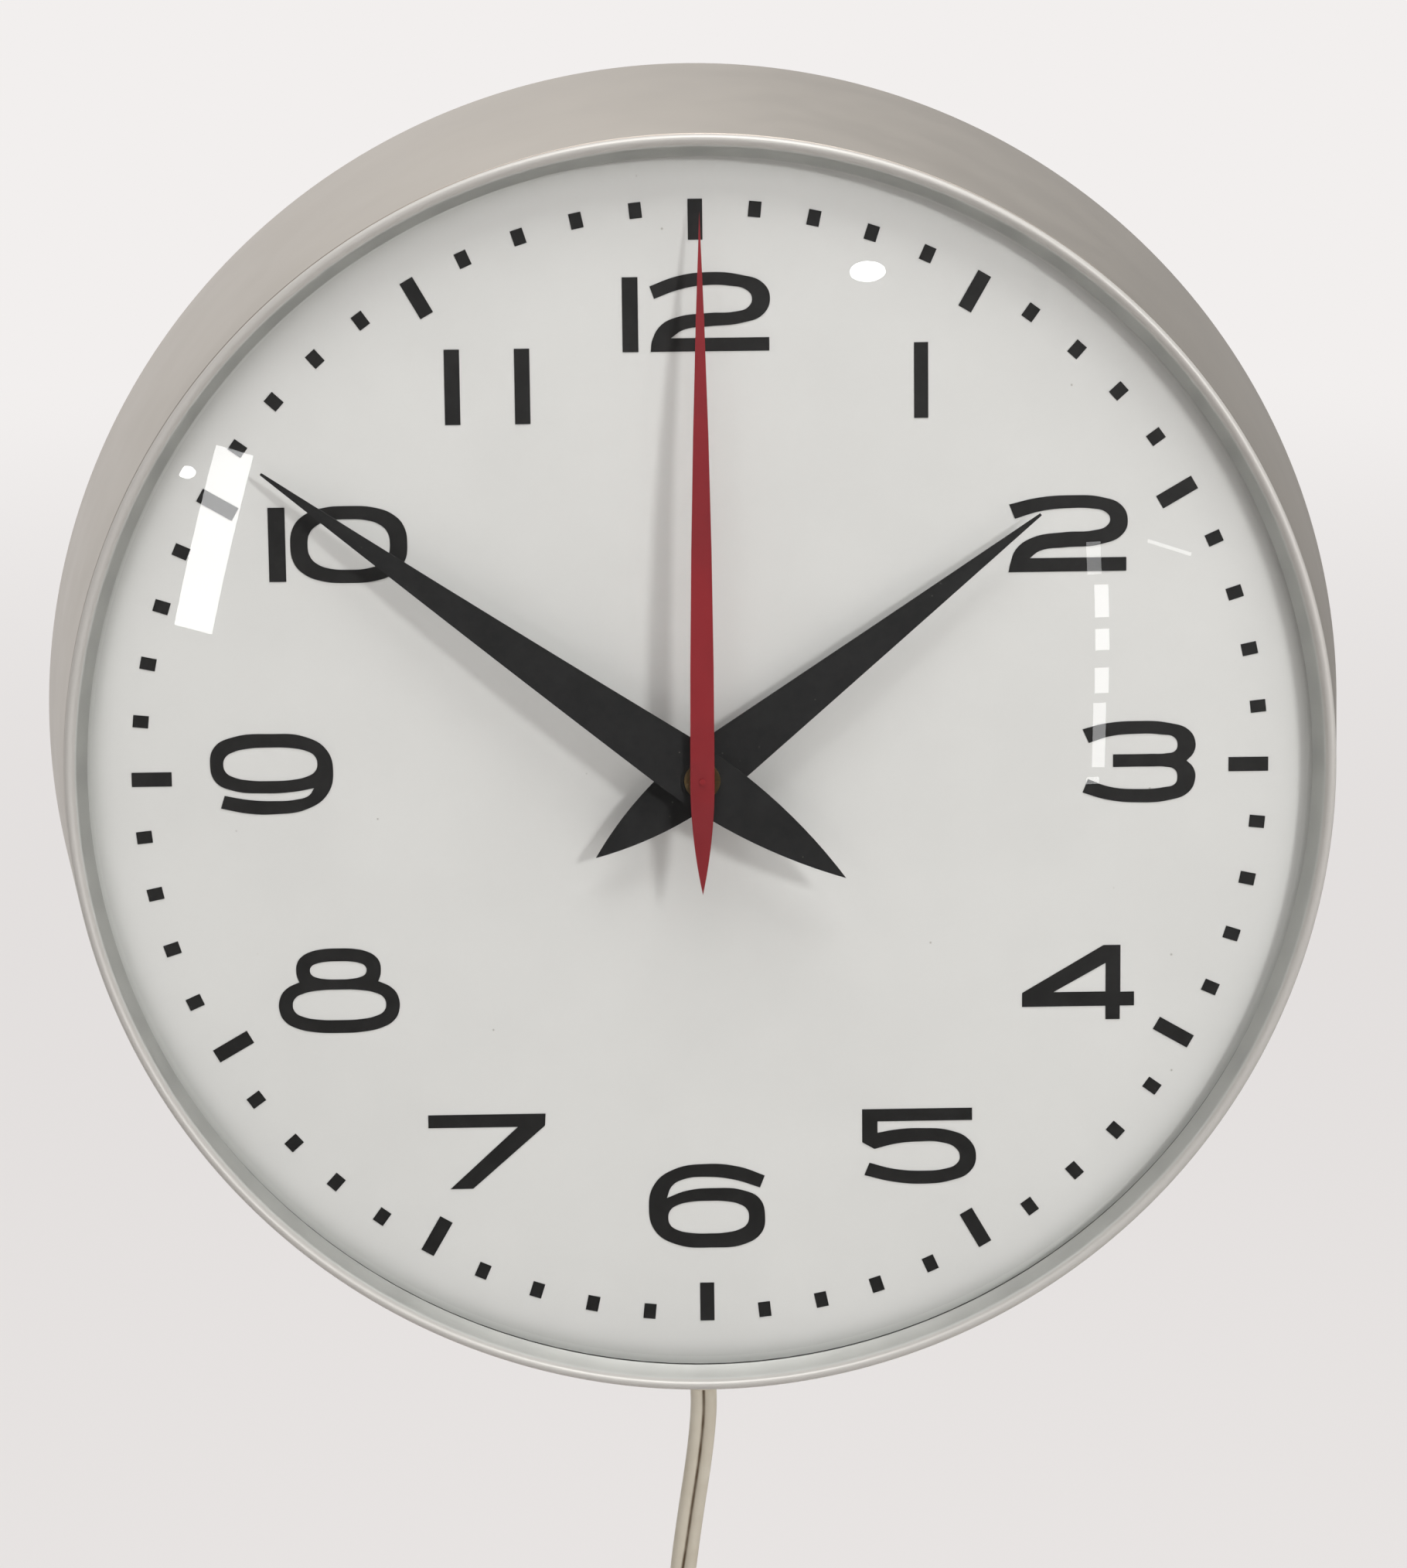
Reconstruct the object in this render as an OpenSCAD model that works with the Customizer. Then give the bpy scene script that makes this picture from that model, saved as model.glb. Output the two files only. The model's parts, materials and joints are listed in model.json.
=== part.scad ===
// Electric wall clock with a spun metal case, a domed glass and lance hands.
// A synchronous motor drives the second arbor, and the train turns the other two hands.
// The dial faces -Y, the wall is the plane y = 0, Z is up and the hands turn about Y.
// Inside face() a piece is drawn with x to the right, y up and z out from the wall.

/* [Case] */
// Wall to the crest of the rolled front rim
case_depth = 102; // [96:1:120]
// Outer radius at the wall
back_r = 175; // [170:1:190]
// Outer radius of the rolled front rim
front_r = 158.5; // [158:0.5:164]
// Radius of the glass that shows inside the rim
opening_r = 152.9; // [148:0.1:154]
// Sheet thickness of the case
case_wall = 1; // [0.8:0.1:1.4]
// Radius of the rolled bead along the front rim
bead_r = 1.2; // [0.9:0.1:1.6]
// Crest of the rim to the edge of the glass
lip_depth = 5.6; // [4:0.2:6.2]
// Wall to the rear flange that the back cover is screwed to
flange_set = 4; // [3.4:0.2:6]
// Width of that flange
flange_w = 13; // [11:0.5:16]

/* [Glass and dial] */
// Thickness of the domed glass
glass_t = 2; // [1.6:0.1:2.6]
// Rise of the dome over its edge
glass_rise = 21; // [19:0.5:30]
// Width of the glass hidden behind the rim
glass_hold = 2.2; // [1.4:0.1:2.6]
// Crest of the rim to the face of the dial
dial_set = 10; // [9.4:0.1:12]
// Thickness of the dial plate
dial_t = 0.8; // [0.6:0.1:1.2]
// Edge of the opening to the ring through the minute squares
tick_set = 12.4; // [10:0.1:18]
// Length of an hour bar
bar_len = 10; // [6:0.5:12]
// Width of an hour bar
bar_w = 3.6; // [2:0.1:5]
// Length of a minute square
square_len = 3.9; // [2:0.1:6]
// Width of a minute square
square_w = 3.1; // [2:0.1:5]
// Thickness of the printed marks
print_t = 0.15; // [0.1:0.05:0.3]

/* [Hands] */
// Ring of minute squares to the tip of the hour hand
hour_short = 34.2; // [28:0.1:60]
// Length of the hour hand's tail
hour_tail = 33.5; // [24:0.5:45]
// Widest part of the hour hand
hour_w = 14.3; // [10:0.1:18]
// Ring of minute squares to the tip of the minute hand
minute_short = 8.2; // [5:0.1:14]
// Length of the minute hand's tail
minute_tail = 43.6; // [30:0.1:55]
// Widest part of the minute hand
minute_w = 14.7; // [10:0.1:18]
// Ring of minute squares to the tip of the second hand
second_short = 0.8; // [0:0.1:4]
// Length of the second hand's tail
second_tail = 28.5; // [20:0.5:45]
// Widest part of the second hand
second_w = 6; // [4:0.1:9]
// Thickness of the hour and minute hands
hand_t = 0.6; // [0.4:0.1:0.8]
// Thickness of the second hand
second_t = 0.4; // [0.3:0.1:0.6]
// Shown time, hour hand, in degrees past twelve
hour_angle = 52.8; // [0:0.1:360]
// Shown time, minute hand, in degrees past twelve
minute_angle = 305.4; // [0:0.1:360]
// Shown time, second hand, in degrees past twelve
second_angle = 0.4; // [0:0.1:360]

/* [Back cover] */
// Sheet thickness of the back cover
cover_t = 1; // [0.8:0.1:1.4]
// Back radius to the edge of the raised pan that lies against the wall
pan_set = 25; // [22:1:30]
// Inner radius of the pocket round the setting knob
pocket_r = 16; // [14:0.5:18]
// Depth of that pocket
pocket_depth = 15; // [14:0.5:18]
// Radius of the keyhole's round part
key_r = 5.5; // [4:0.25:7]
// Width of the keyhole's slot
key_slot_w = 5; // [3:0.25:7]
// Length of the slot above the round part's centre
key_slot_len = 12; // [8:0.5:16]
// Edge of the pan to the centre of the keyhole
key_set = 32; // [28:1:36]
// Width of an air slot
vent_w = 3; // [2:0.25:4]
// Length of an air slot
vent_len = 30; // [16:1:40]
// Air slots in a group
vent_count = 5; // [3:1:6]
// Spacing of the air slots
vent_pitch = 8; // [6:0.5:9]
// Distance of the cover screws inside the back radius
screw_set = 9; // [8.5:0.5:10]
// Number of cover screws
cover_screw_count = 4; // [3:1:8]

/* [Movement] */
// Width of the movement plates
plate_w = 92; // [88:1:110]
// Height of the movement plates
plate_h = 84; // [80:1:100]
// Thickness of the movement plates
plate_t = 1.2; // [1:0.1:2]
// Clear distance between the plates
plate_gap = 33.8; // [32:0.2:36]
// Gap between the front plate and the dial
dial_gap = 8; // [6:0.5:10]
// Radius of the plate pillars
pillar_r = 3; // [2.5:0.25:4]
// Thickness of the wheels
wheel_t = 1; // [0.8:0.1:1.3]
// Module of the motor pinion and second wheel
first_module = 0.6; // [0.55:0.01:0.62]
// Distance from the clock axis to the third arbor
third_distance = 21.25; // [20.5:0.25:22]
// Distance from the clock axis to the minute wheel's stud
stud_distance = 14.4; // [13.8:0.1:14.8]
// Direction of the third arbor
third_angle = 150; // [140:1:160]
// Direction of the minute wheel's stud and the setting arbor
stud_angle = 40; // [35:1:50]
// Radius of the second arbor inside the minute tube
second_arbor_r = 0.75; // [0.6:0.05:0.85]
// Outer radius of the minute tube
minute_tube_r = 2; // [1.8:0.05:2.1]
// Outer radius of the hour pipe
hour_pipe_r = 3.2; // [3:0.05:3.3]
// Outer radius of the threaded centre bushing
bushing_r = 4.8; // [4.4:0.1:5.2]
// Radius of the setting arbor
set_arbor_r = 1.5; // [1.2:0.05:1.8]
// Radius of the setting knob
knob_r = 9; // [7:0.5:10]
// Height of the setting knob
knob_h = 10; // [8:0.5:11]

/* [Motor] */
// Radius of the sealed rotor can
can_r = 17; // [15:0.5:18]
// Length of the rotor can
can_len = 21; // [18:0.5:22]
// Thickness of the stack of stator laminations
stack_t = 8; // [6:0.5:10]
// Width of the stator
stator_w = 48; // [44:1:52]
// Width of the stator limbs
limb_w = 10; // [8:0.5:11]
// Depth of wire wound on the coil
coil_build = 5.4; // [4:0.2:6]

/* [Mains lead] */
// Width of the flat twin lead
lead_w = 7.2; // [6.6:0.1:7.4]
// Thickness of the flat twin lead
lead_t = 3.8; // [3:0.1:4]
// Distance from the wall to the lead where it leaves the case
exit_y = 16; // [15.5:0.5:17]
// Length of the strain relief outside the case
relief_out = 12; // [10:0.5:12.5]
// Radius of the coil's outermost turn
coil_out_r = 46.5; // [46:0.25:48]
// Spacing of the coil's turns
coil_pitch = 4.6; // [4.4:0.1:5]
// Spacing of the coil's two layers
coil_layer = 8; // [7.8:0.1:9]
// Width of the plug across its blades
plug_w = 23; // [21:0.5:25]
// Thickness of the plug
plug_t = 13; // [11:0.5:13]
// Length of the plug's body
plug_len = 30; // [26:1:36]
// Length of the plug's blades
blade_len = 17; // [15:0.5:18]

/* [Hidden] */
$fn = 72;
// Facets round the large turned pieces
big_fn = 180;

// Clearances
run_gap = 0.05;
seat_gap = 0.05;
free_gap = 0.3;
end_float = 0.3;

// Levels along the clock axis, out from the wall
seat_z = case_depth - lip_depth;
dial_z = case_depth - dial_set;
dial_back_z = dial_z - dial_t;
front_plate_z = dial_back_z - dial_gap - plate_t;
back_plate_z = front_plate_z - plate_gap - plate_t;
train_z = back_plate_z + plate_t;

// Domed glass, a slice of a sphere that touches the rim from behind
glass_edge_r = opening_r + glass_hold;
glass_sphere_r = (pow(glass_edge_r, 2) + pow(glass_rise, 2)) / (2 * glass_rise);
glass_center_z = seat_z - seat_gap - sqrt(pow(glass_sphere_r, 2) - pow(opening_r, 2));
glass_edge_z = glass_center_z + sqrt(pow(glass_sphere_r, 2) - pow(glass_edge_r, 2));
glass_back_r = glass_sphere_r - glass_t;
glass_back_z = glass_center_z + sqrt(pow(glass_back_r, 2) - pow(glass_edge_r, 2));

// Lengths of the hands from the axis
tick_ring_r = opening_r - tick_set;
hour_tip = tick_ring_r - hour_short;
minute_tip = tick_ring_r - minute_short;
second_tip = tick_ring_r - second_short;

// Heights of the hubs, stacked out from the dial, and of each blade's tip over the dial
hour_lift = 7.2;
minute_rise = 5.2;
second_rise = 2.8;
minute_lift = hour_lift + minute_rise;
second_lift = minute_lift + second_rise;
hour_tip_lift = 5.6;
minute_tip_lift = 4.4;
second_tip_lift = 4.7;
// Flat length of a blade on each side of its hub
blade_flat = 15;
// Half width of a blunt tip
tip_half = 0.3;
hour_mid_z = dial_z + hour_lift;
minute_mid_z = dial_z + minute_lift;
second_mid_z = dial_z + second_lift;

// Collets and nut that hold the hands
bushing_out = 3.6;
nut_over = 2.1;
washer_t = 0.5;
hex_h = 2.4;
collet_wall = 1.6;
collet_h = 1.4;
nut_r = 4.5;
nut_h = 1.6;

// Teeth of the train
motor_teeth = 10;
second_teeth = 36;
second_leaves = 10;
third_teeth = 75;
third_leaves = 10;
center_teeth = 80;
cannon_leaves = 12;
minute_teeth = 36;
minute_leaves = 10;
hour_teeth = 40;
set_leaves = 12;
pressure_angle = 20;
tooth_play = 0.12;
leaf_top = 0.75;
leaf_root = 1.15;
tooth_top = 0.7;
tooth_root = 1.05;

// Modules and centre distances that follow from the shared axes
third_module = 2 * third_distance / (second_leaves + third_teeth);
center_module = 2 * third_distance / (third_leaves + center_teeth);
cannon_module = 2 * stud_distance / (cannon_leaves + minute_teeth);
hour_module = 2 * stud_distance / (minute_leaves + hour_teeth);
motor_distance = first_module * (motor_teeth + second_teeth) / 2;
set_distance = stud_distance + cannon_module * (minute_teeth + set_leaves) / 2;
motor_at = [0, -motor_distance];
third_at = third_distance * [cos(third_angle), sin(third_angle)];
stud_at = stud_distance * [cos(stud_angle), sin(stud_angle)];
set_at = set_distance * [cos(stud_angle), sin(stud_angle)];

// Levels of the wheels over the back plate
leaf_len = 5;
leaf_over = 2;
second_wheel_up = 1.8;
second_leaf_up = 2.5;
third_leaf_up = 7.5;
tube_start_up = 0.5;
clutch_h = 2.2;
minute_wheel_up = 2.3;
hour_wheel_up = 4.7;
hour_pipe_out = 0.5;
second_wheel_z = train_z + second_wheel_up;
second_leaf_z = second_wheel_z + second_leaf_up;
third_wheel_z = second_leaf_z + leaf_over;
third_leaf_z = third_wheel_z + third_leaf_up;
center_wheel_z = third_leaf_z + leaf_over;
tube_start_z = third_leaf_z - tube_start_up;
clutch_z = center_wheel_z + wheel_t;
cannon_leaf_z = clutch_z + clutch_h;
minute_wheel_z = cannon_leaf_z + minute_wheel_up;
minute_leaf_z = minute_wheel_z + wheel_t;
hour_wheel_z = minute_wheel_z + hour_wheel_up;
hour_pipe_end_z = hour_mid_z + hand_t / 2 + hour_pipe_out;
tube_end_z = minute_mid_z + hand_t / 2 + nut_h;

// Arbors and their pivots
arbor_r = 1.2;
pivot_r = 0.6;
motor_shaft_r = 1;
stud_r = 1;
tube_bore_r = second_arbor_r + run_gap;
pipe_bore_r = minute_tube_r + run_gap;
bushing_bore_r = hour_pipe_r + run_gap;

// Phase of a wheel in mesh with a driver that has a tooth at driver_phase
function mesh_phase(line_angle, driver_phase, driver_teeth, teeth) =
    line_angle + 180 - (0.5 - (line_angle - driver_phase) * driver_teeth / 360) * 360 / teeth;
motor_phase = mesh_phase(-90, 0, second_teeth, motor_teeth);
third_phase = mesh_phase(third_angle, 0, second_leaves, third_teeth);
center_phase = mesh_phase(third_angle + 180, 0, third_leaves, center_teeth);
minute_phase = mesh_phase(stud_angle, 0, cannon_leaves, minute_teeth);
hour_phase = mesh_phase(stud_angle + 180, 0, minute_leaves, hour_teeth);
set_phase = mesh_phase(stud_angle, minute_phase, minute_teeth, set_leaves);

// Motor behind the back plate
can_front_z = back_plate_z - 0.5;
can_boss_r = 5.5;
stack_z = back_plate_z - 6 - stack_t;
pole_gap = 4;
window_top = motor_at[1] - can_r - 2;
window_h = 17;
bar_top = window_top - window_h;
bar_mid = bar_top - limb_w / 2;
motor_hole_set = 3.5;
motor_hole_low = 4.2;
motor_hole_x = stator_w / 2 - motor_hole_set;
motor_holes = [for (sx = [-1, 1], y = [motor_at[1] + can_r - motor_hole_set, motor_hole_low - plate_h / 2])
    [sx * motor_hole_x, y]];
motor_screw_r = 1.5;
flange_t = 1;

// Plate corners
pillar_x = plate_w / 2 - 8;
pillar_y = plate_h / 2 - 8;
pillars_at = [for (sx = [-1, 1], sy = [-1, 1]) [sx * pillar_x, sy * pillar_y]];

// Back cover rim, set in so that the screw heads stay off the wall
cover_r = back_r - case_wall - 1.3;
cover_rim_z = flange_set - cover_t;
screw_circle_r = back_r - screw_set;
cover_screw_r = 1.9;
cover_head_r = 3.6;
pan_r = back_r - pan_set;
key_height = pan_r - key_set;
key_pad = [40, 32];
key_pad_up = 4;
// Pressed ring between the keyhole's plate and the air slots
bead_half = 4;
bead_rise = 1.2;
bead_mid = key_height - key_pad[1] / 2 + key_pad_up - 2 * bead_half;
// Where the air slots are cut
vent_x = 48;
vent_low = -62;

// Side of the case as a straight slope from the wall to the bead
function case_r(z) = back_r + (front_r - back_r) * z / (case_depth - bead_r);

// Strain relief in the bottom of the case
relief_flange_r = 7;
relief_neck_r = 5.4;
relief_tip_r = 4.4;
relief_flange_t = 2;
relief_in = 8;
relief_end = case_r(exit_y) + relief_out;

// Route of the hanging lead from the strain relief to the coil, chosen by hand
CORD_DROPS = [[0, 0, 0], [0, 0, -5.6], [-0.4, 0, -11.6], [-1.2, 0, -18.6], [-2.2, 0.1, -25.6],
    [-3.3, 0.3, -32.6], [-4.5, 0.7, -40.6], [-5.6, 1.3, -48.6], [-6.6, 2, -56.6],
    [-7.5, 2.7, -64.6], [-8.2, 3.3, -72.6], [-8.7, 3.8, -80.6], [-9, 4, -88.6], [-9, 4, -96.6]];
CORD_ROUTE = [for (p = CORD_DROPS) p + [0, -exit_y, -relief_end]];
// The wide side turns from the front to the side along the lower part of the route
TWIST_FROM = 6;

// Coil of the spare lead, hung flat against the wall
coil_turns = 7;
coil_rings = 24;
coil_entry = lead_w;
coil_exit = 24;
coil_start = CORD_ROUTE[len(CORD_ROUTE) - 1];
coil_center = coil_start + [coil_out_r, 0, -coil_entry];
coil_half = (coil_turns - 0.5) / 2;
plug_top = coil_start + [0, -coil_layer, -coil_entry - coil_exit];

// Sections of the lead, wide side first
twin_section = [[3.6, 0], [2.9, 1.6], [1.6, 1.9], [0, 1.1], [-1.6, 1.9], [-2.9, 1.6],
    [-3.6, 0], [-2.9, -1.6], [-1.6, -1.9], [0, -1.1], [1.6, -1.9], [2.9, -1.6]];
twin_scale = [lead_w / 7.2, lead_t / 3.8];
coil_section = [[lead_w / 2, 0], [lead_w * 0.28, lead_t / 2], [-lead_w * 0.28, lead_t / 2],
    [-lead_w / 2, 0], [-lead_w * 0.28, -lead_t / 2], [lead_w * 0.28, -lead_t / 2]];

// General shapes

module face() {
    rotate([90, 0, 0]) children();
}

module at(p, z = 0) {
    translate([p[0], p[1], z]) children();
}

// Turned piece from an outline of radius and level
module turned(fn = $fn) {
    rotate_extrude($fn = fn) children();
}

module round_rect(size, r) {
    square([size[0] - 2 * r, size[1]], center = true);
    square([size[0], size[1] - 2 * r], center = true);
    for (sx = [-1, 1], sy = [-1, 1])
        translate([sx * (size[0] / 2 - r), sy * (size[1] / 2 - r)]) circle(r);
}

module slot(length, width) {
    square([length - width, width], center = true);
    for (s = [-1, 1])
        translate([s * (length - width) / 2, 0]) circle(d = width, $fn = 32);
}

module ring(outer, inner, h, fn = $fn) {
    difference() {
        cylinder(r = outer, h = h, $fn = fn);
        translate([0, 0, -1]) cylinder(r = inner, h = h + 2, $fn = fn);
    }
}

// Involute teeth

function involute_deg(angle) = tan(angle) * 180 / PI - angle;

function tooth_half(r, pitch_r, teeth) =
    let (base_r = pitch_r * cos(pressure_angle), at_r = max(r, base_r))
    90 / teeth * (1 - tooth_play) + involute_deg(pressure_angle) - involute_deg(acos(base_r / at_r));

module teeth_outline(teeth, tooth_module, top, root, with_pitch) {
    pitch_r = tooth_module * teeth / 2;
    tip_r = pitch_r + top * tooth_module;
    root_r = pitch_r - root * tooth_module;
    up = with_pitch ? [root_r, pitch_r, tip_r] : [root_r, tip_r];
    down = with_pitch ? [tip_r, pitch_r, root_r] : [tip_r, root_r];
    polygon([for (i = [0 : teeth - 1])
        let (mid = i * 360 / teeth)
        each concat(
            [for (r = up) let (a = mid - tooth_half(r, pitch_r, teeth)) r * [cos(a), sin(a)]],
            [for (r = down) let (a = mid + tooth_half(r, pitch_r, teeth)) r * [cos(a), sin(a)]])]);
}

module pinion(leaves, tooth_module, h, bore) {
    linear_extrude(h) difference() {
        teeth_outline(leaves, tooth_module, leaf_top, leaf_root, true);
        circle(bore);
    }
}

// Toothed wheel with crossings between its hub and rim
module wheel(teeth, tooth_module, bore, hub_r, spokes, spoke_w) {
    rim_r = tooth_module * (teeth / 2 - tooth_root) - 1.8;
    linear_extrude(wheel_t) {
        difference() {
            teeth_outline(teeth, tooth_module, tooth_top, tooth_root, false);
            circle(rim_r);
        }
        difference() {
            union() {
                circle(hub_r);
                for (i = [0 : spokes - 1])
                    rotate(i * 360 / spokes) translate([0, -spoke_w / 2]) square([rim_r + 0.4, spoke_w]);
            }
            circle(bore);
        }
    }
}

// Case and front

module case_shell() {
    side_top = case_depth - bead_r;
    bead_in = front_r - 2 * bead_r;
    face() color([0.66, 0.63, 0.6]) difference() {
        turned(big_fn) {
            polygon([[back_r, 0], [front_r, side_top], [front_r - case_wall, side_top],
                [back_r - case_wall, 0]]);
            translate([front_r - bead_r, side_top]) circle(bead_r, $fn = 48);
            polygon([[bead_in, side_top], [opening_r, seat_z], [opening_r + case_wall * 0.9, seat_z],
                [bead_in + case_wall, side_top - 0.4]]);
            polygon([[case_r(flange_set) - case_wall - flange_w, flange_set],
                [case_r(flange_set) - case_wall / 2, flange_set],
                [case_r(flange_set) - case_wall / 2, flange_set + case_wall],
                [case_r(flange_set) - case_wall - flange_w, flange_set + case_wall]]);
        }
        rotate(45) cover_screw_places() cylinder(r = cover_screw_r + seat_gap, h = 3 * flange_set);
        translate([0, 0, exit_y]) rotate([90, 0, 0])
            translate([0, 0, back_r - 20]) cylinder(r = relief_neck_r + seat_gap, h = 40);
    }
}

module dome_glass() {
    face() color([0.85, 0.92, 0.93, 0.3]) turned(big_fn) intersection() {
        difference() {
            translate([0, glass_center_z]) circle(glass_sphere_r, $fn = 720);
            translate([0, glass_center_z]) circle(glass_back_r, $fn = 720);
        }
        translate([0, dial_z]) square([glass_edge_r, 3 * glass_rise]);
    }
}

// Rubber ring that cups the edge of the glass and spaces it off the dial
module glass_gasket() {
    cup_r = glass_edge_r + seat_gap;
    face() color([0.16, 0.16, 0.16]) turned(big_fn) {
        polygon([[opening_r + 0.8, dial_z], [cup_r + 1.4, dial_z], [cup_r + 1.4, glass_edge_z - 0.4],
            [cup_r, glass_edge_z - 0.4], [cup_r, glass_back_z - seat_gap],
            [opening_r + 0.8, glass_back_z - seat_gap]]);
    }
}

// Four sheet clips welded inside the case, with feet that hold the dial forward
module dial_clips() {
    inner_gap = case_wall + seat_gap;
    foot_in = case_r(dial_z) - 14;
    leg = 14;
    t = 1.2;
    z0 = dial_back_z - t;
    clip_angle = 5.4;
    face() color([0.6, 0.6, 0.58]) for (i = [0 : 3])
        rotate(45 + i * 90 - clip_angle / 2) rotate_extrude(angle = clip_angle, $fn = big_fn)
            polygon([[foot_in, z0], [foot_in, dial_back_z], [case_r(dial_back_z) - inner_gap, dial_back_z],
                [case_r(z0 - leg) - inner_gap, z0 - leg], [case_r(z0 - leg) - inner_gap - t, z0 - leg],
                [case_r(z0) - inner_gap - t, z0]]);
}

module dial_plate() {
    dial_r = glass_edge_r + 2;
    face() color([0.85, 0.85, 0.84]) translate([0, 0, dial_back_z])
        ring(dial_r, bushing_r + seat_gap, dial_t, big_fn);
}

module dial_marks() {
    bar_mid_r = tick_ring_r + square_len / 2 - bar_len / 2;
    face() color([0.13, 0.13, 0.12]) translate([0, 0, dial_z]) linear_extrude(print_t)
        for (i = [0 : 59])
            rotate(i * 6) if (i % 5 == 0)
                translate([bar_mid_r, 0]) square([bar_len, bar_w], center = true);
            else
                translate([tick_ring_r, 0]) square([square_len, square_w], center = true);
}

// Hands

// Lens of two equal arcs, tips at the ends of the given half length
module leaf(half_len, half_w) {
    r = (pow(half_len, 2) + pow(half_w, 2)) / (2 * half_w);
    intersection() {
        translate([half_w - r, 0]) circle(r, $fn = 720);
        translate([r - half_w, 0]) circle(r, $fn = 720);
    }
}

// Straight taper from the tip that runs into the curved leaf of the tail
module lance_outline(tip, tail, w, widest) {
    half = w / 2;
    leaf_len = widest + tail;
    r = (pow(leaf_len, 2) + pow(half, 2)) / (2 * half);
    center = [half - r, widest];
    from_center = [tip_half, tip] - center;
    touch = center + r * [cos(atan2(from_center[1], from_center[0]) - acos(r / norm(from_center))),
        sin(atan2(from_center[1], from_center[0]) - acos(r / norm(from_center)))];
    translate([0, widest]) leaf(leaf_len, half);
    polygon([[tip_half, tip], touch, [-touch[0], touch[1]], [-tip_half, tip]]);
}

// Slender leaf of the second hand, widest at its hub
module needle_outline(tip, tail, w) {
    intersection() {
        leaf(tip, w / 2);
        translate([-w, 0]) square([2 * w, tip]);
    }
    intersection() {
        leaf(tail, w / 2);
        translate([-w, -tail]) square([2 * w, tail + 0.01]);
    }
}

// Side view of a blade, flat at its hub and then bowed down towards the dial
module bowed_sheet(tip, tail, mid_z, drop, t, w) {
    run = tip - blade_flat;
    r = (run * run + drop * drop) / (2 * drop);
    rotate([90, 0, 90]) linear_extrude(w + 2, center = true) {
        translate([-tail - 1, mid_z - t / 2]) square([tail + 1 + blade_flat, t]);
        intersection() {
            translate([blade_flat, mid_z - r]) difference() {
                circle(r + t / 2, $fn = 720);
                circle(r - t / 2, $fn = 720);
            }
            translate([blade_flat, mid_z - drop - 2]) square([run + 1, drop + 3]);
        }
    }
}

module hand(angle, tip, tail, mid_z, drop, t, w, bore) {
    rotate(-angle) difference() {
        intersection() {
            translate([0, 0, dial_z]) linear_extrude(2 * second_lift) children();
            bowed_sheet(tip, tail, mid_z, drop, t, w);
        }
        translate([0, 0, dial_z]) cylinder(r = bore, h = 2 * second_lift);
    }
}

module hour_hand() {
    face() color([0.12, 0.12, 0.12])
        hand(hour_angle, hour_tip, hour_tail, hour_mid_z, hour_lift - hour_tip_lift, hand_t,
            hour_w, hour_pipe_r)
            lance_outline(hour_tip, hour_tail, hour_w, 2.5);
}

module minute_hand() {
    face() color([0.12, 0.12, 0.12])
        hand(minute_angle, minute_tip, minute_tail, minute_mid_z, minute_lift - minute_tip_lift, hand_t,
            minute_w, minute_tube_r)
            lance_outline(minute_tip, minute_tail, minute_w, 1.4);
}

module second_hand() {
    face() color([0.78, 0.12, 0.17])
        hand(second_angle, second_tip, second_tail, second_mid_z, second_lift - second_tip_lift, second_t,
            second_w, second_arbor_r)
            needle_outline(second_tip, second_tail, second_w);
}

// Brass collar riveted under a hand
module collet(bore, top_z) {
    face() color([0.72, 0.53, 0.3]) translate([0, 0, top_z - collet_h])
        ring(bore + collet_wall, bore, collet_h);
}

module hour_collet() {
    collet(hour_pipe_r, hour_mid_z - hand_t / 2);
}

module minute_collet() {
    collet(minute_tube_r, minute_mid_z - hand_t / 2);
}

// Thin collar, low enough to clear the nut below it
module second_collet() {
    low_z = tube_end_z + free_gap;
    face() color([0.72, 0.53, 0.3]) translate([0, 0, low_z])
        ring(second_arbor_r + 1, second_arbor_r, second_mid_z - second_t / 2 - low_z);
}

// Round brass nut on the end of the minute tube, slotted for a tool
module minute_nut() {
    face() color([0.76, 0.52, 0.32]) translate([0, 0, minute_mid_z + hand_t / 2]) difference() {
        ring(nut_r, minute_tube_r, nut_h);
        translate([0, 0, nut_h]) cube([2 * nut_r + 1, 1, 1], center = true);
    }
}

// Arbors and wheels

module hour_wheel() {
    face() color([0.76, 0.6, 0.32]) {
        translate([0, 0, hour_wheel_z]) rotate(hour_phase)
            wheel(hour_teeth, hour_module, pipe_bore_r, hour_pipe_r + 2, 4, 2);
        translate([0, 0, hour_wheel_z]) ring(hour_pipe_r, pipe_bore_r, hour_pipe_end_z - hour_wheel_z);
    }
}

module minute_tube() {
    face() color([0.76, 0.6, 0.32]) {
        translate([0, 0, tube_start_z]) ring(minute_tube_r, tube_bore_r, tube_end_z - tube_start_z);
        translate([0, 0, cannon_leaf_z]) pinion(cannon_leaves, cannon_module, leaf_len - 0.4, minute_tube_r);
        translate([0, 0, tube_start_z]) ring(minute_tube_r + 2, minute_tube_r, center_wheel_z - tube_start_z);
    }
}

module center_wheel() {
    face() color([0.76, 0.6, 0.32]) translate([0, 0, center_wheel_z]) rotate(center_phase)
        wheel(center_teeth, center_module, minute_tube_r, minute_tube_r + 4, 5, 2.4);
}

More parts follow.
